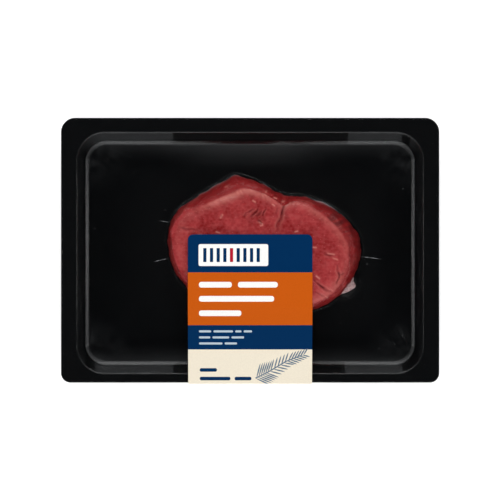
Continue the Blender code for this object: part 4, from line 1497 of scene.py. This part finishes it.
def dim_room():
    """The room: nearly dark overhead, a glow low in front and behind, and a bright ring at lamp height."""
    world = bpy.data.worlds.new("dim room")
    world.use_nodes = True
    tree = world.node_tree
    tree.nodes.clear()
    way = add(tree, "ShaderNodeTexCoord").outputs["Generated"]
    parts = add(tree, "ShaderNodeSeparateXYZ", {0: way}).outputs
    depth = add(tree, "ShaderNodeMath", {0: parts["Y"]}, operation="ABSOLUTE")
    glow = {"Value": depth, "From Min": 0.2, "From Max": 0.8, "To Min": 0.005, "To Max": 0.4}
    glow = add(tree, "ShaderNodeMapRange", glow)
    off = {0: parts["Z"], 1: math.sin(LAMP_ELEVATION)}
    off = add(tree, "ShaderNodeMath", off, operation="SUBTRACT")
    off = add(tree, "ShaderNodeMath", {0: off}, operation="ABSOLUTE")
    ring = {"Value": off, "From Min": 0.03, "From Max": 0.09, "To Min": 0.45, "To Max": 0.0}
    ring = add(tree, "ShaderNodeMapRange", ring)
    glow = add(tree, "ShaderNodeMath", {0: glow, 1: ring}, operation="MAXIMUM")
    light = add(tree, "ShaderNodeBackground", {"Strength": glow})
    add(tree, "ShaderNodeOutputWorld", {"Surface": light})
    bpy.context.scene.world = world


def receivers(name, pieces, state):
    """What a lamp lights: the pieces alone for INCLUDE, and all but the pieces for EXCLUDE."""
    group = bpy.data.collections.new(name)
    for k, piece in enumerate(pieces):
        group.objects.link(piece)
        group.collection_objects[k].light_linking.link_state = state
    return group


def set_light(tray, film):
    """Soft light from all round, with lamps of their own for the film, which shows only by its gleams."""
    centre = (0, 0, 0.01)
    above = (0, 0, LAMP_HEIGHT)
    level = math.cos(LAMP_ELEVATION)
    high = math.sin(LAMP_ELEVATION)
    film_alone = receivers("film alone", (film,), "INCLUDE")
    food_and_label = receivers("all but the film and tray", (film, tray), "EXCLUDE")
    overhead = panel("overhead", above, centre, (2.0, 2.0), OVERHEAD, shiny=False)
    overhead.light_linking.receiver_collection = receivers("all but the film", (film,), "EXCLUDE")
    for side, bright in ((1, SOFTBOX_BEHIND), (-1, SOFTBOX_IN_FRONT)):
        place = Vector((0, level * side, high))
        panel("long softbox", place, centre, (1.1, 0.28), bright)
        fill = panel("side fill", place * FILL_DISTANCE, centre, (0.5, 0.4), SIDE_FILL, shiny=False)
        fill.light_linking.receiver_collection = food_and_label
        edge = panel("film light", place * FILL_DISTANCE, centre, (0.2, 0.1), FILM_LIGHT, shiny=False)
        edge.light_linking.receiver_collection = film_alone
    gleam = panel("film light above", above, centre, (0.4, 0.4), FILM_LIGHT_ABOVE, shiny=False)
    gleam.light_linking.receiver_collection = film_alone
    panel("right strip", (level, 0, high), centre, (0.08, 0.5), RIGHT_STRIP)
    panel("left strip", (-level, 0, high), centre, (0.08, 0.5), LEFT_STRIP)
    dim_room()
    bpy.context.scene.view_settings.view_transform = "Standard"


def set_camera():
    """Straight overhead, far off, so that the tray fills the image as in the photo."""
    camera = bpy.data.cameras.new("overhead camera")
    camera.sensor_width = SENSOR
    camera.lens = SENSOR * CAMERA_HEIGHT / VIEW_WIDTH
    viewer = new_object("overhead camera", camera)
    viewer.location = (*CAMERA_PLACE, TRAY_HEIGHT + CAMERA_HEIGHT)
    bpy.context.scene.camera = viewer


def pale_table():
    """A plain painted board, lit from within a little so that it stays near white."""
    material, tree = blank_material("pale painted board")
    shader = {
        "Base Color": linear("#f4f4f4"),
        "Roughness": 0.9,
        "Emission Color": (1, 1, 1, 1),
        "Emission Strength": 0.45,
    }
    add(tree, "ShaderNodeOutputMaterial", {"Surface": add(tree, "ShaderNodeBsdfPrincipled", shader)})
    return material


def make_floor():
    """The table that the pack stands on, far larger than what the camera sees."""
    mesh = bpy.data.meshes.new("table")
    corners = [(x, y, 0) for x, y in box(-FLOOR_HALF, FLOOR_HALF, -FLOOR_HALF, FLOOR_HALF)]
    mesh.from_pydata(corners, [], [(0, 1, 2, 3)])
    mesh.materials.append(pale_table())
    return new_object("table", mesh)


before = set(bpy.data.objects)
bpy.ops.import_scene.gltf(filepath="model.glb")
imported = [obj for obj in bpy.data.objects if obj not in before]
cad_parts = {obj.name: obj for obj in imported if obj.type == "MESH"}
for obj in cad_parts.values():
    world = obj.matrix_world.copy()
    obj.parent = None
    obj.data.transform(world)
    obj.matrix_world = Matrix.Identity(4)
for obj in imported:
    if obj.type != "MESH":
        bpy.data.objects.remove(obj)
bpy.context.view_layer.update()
tray = make_tray(tray_plastic())
steak = make_steak(raw_beef())
flap = make_flap(beef_fat())
film = make_film(skin_film())
creases = make_creases(drawn_film())
label = make_label(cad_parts["label"], label_inks())
for piece, node, slot in (
    (tray, "tray", "tray_plastic"),
    (steak, "steak", "raw_beef"),
    (flap, "fat_flap", "beef_fat"),
    (film, "film", "clear_film"),
    (label, "label", "label_paper"),
):
    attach(piece, "root")
    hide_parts(node)
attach(creases, "root")
make_floor()
set_light(tray, film)
set_camera()
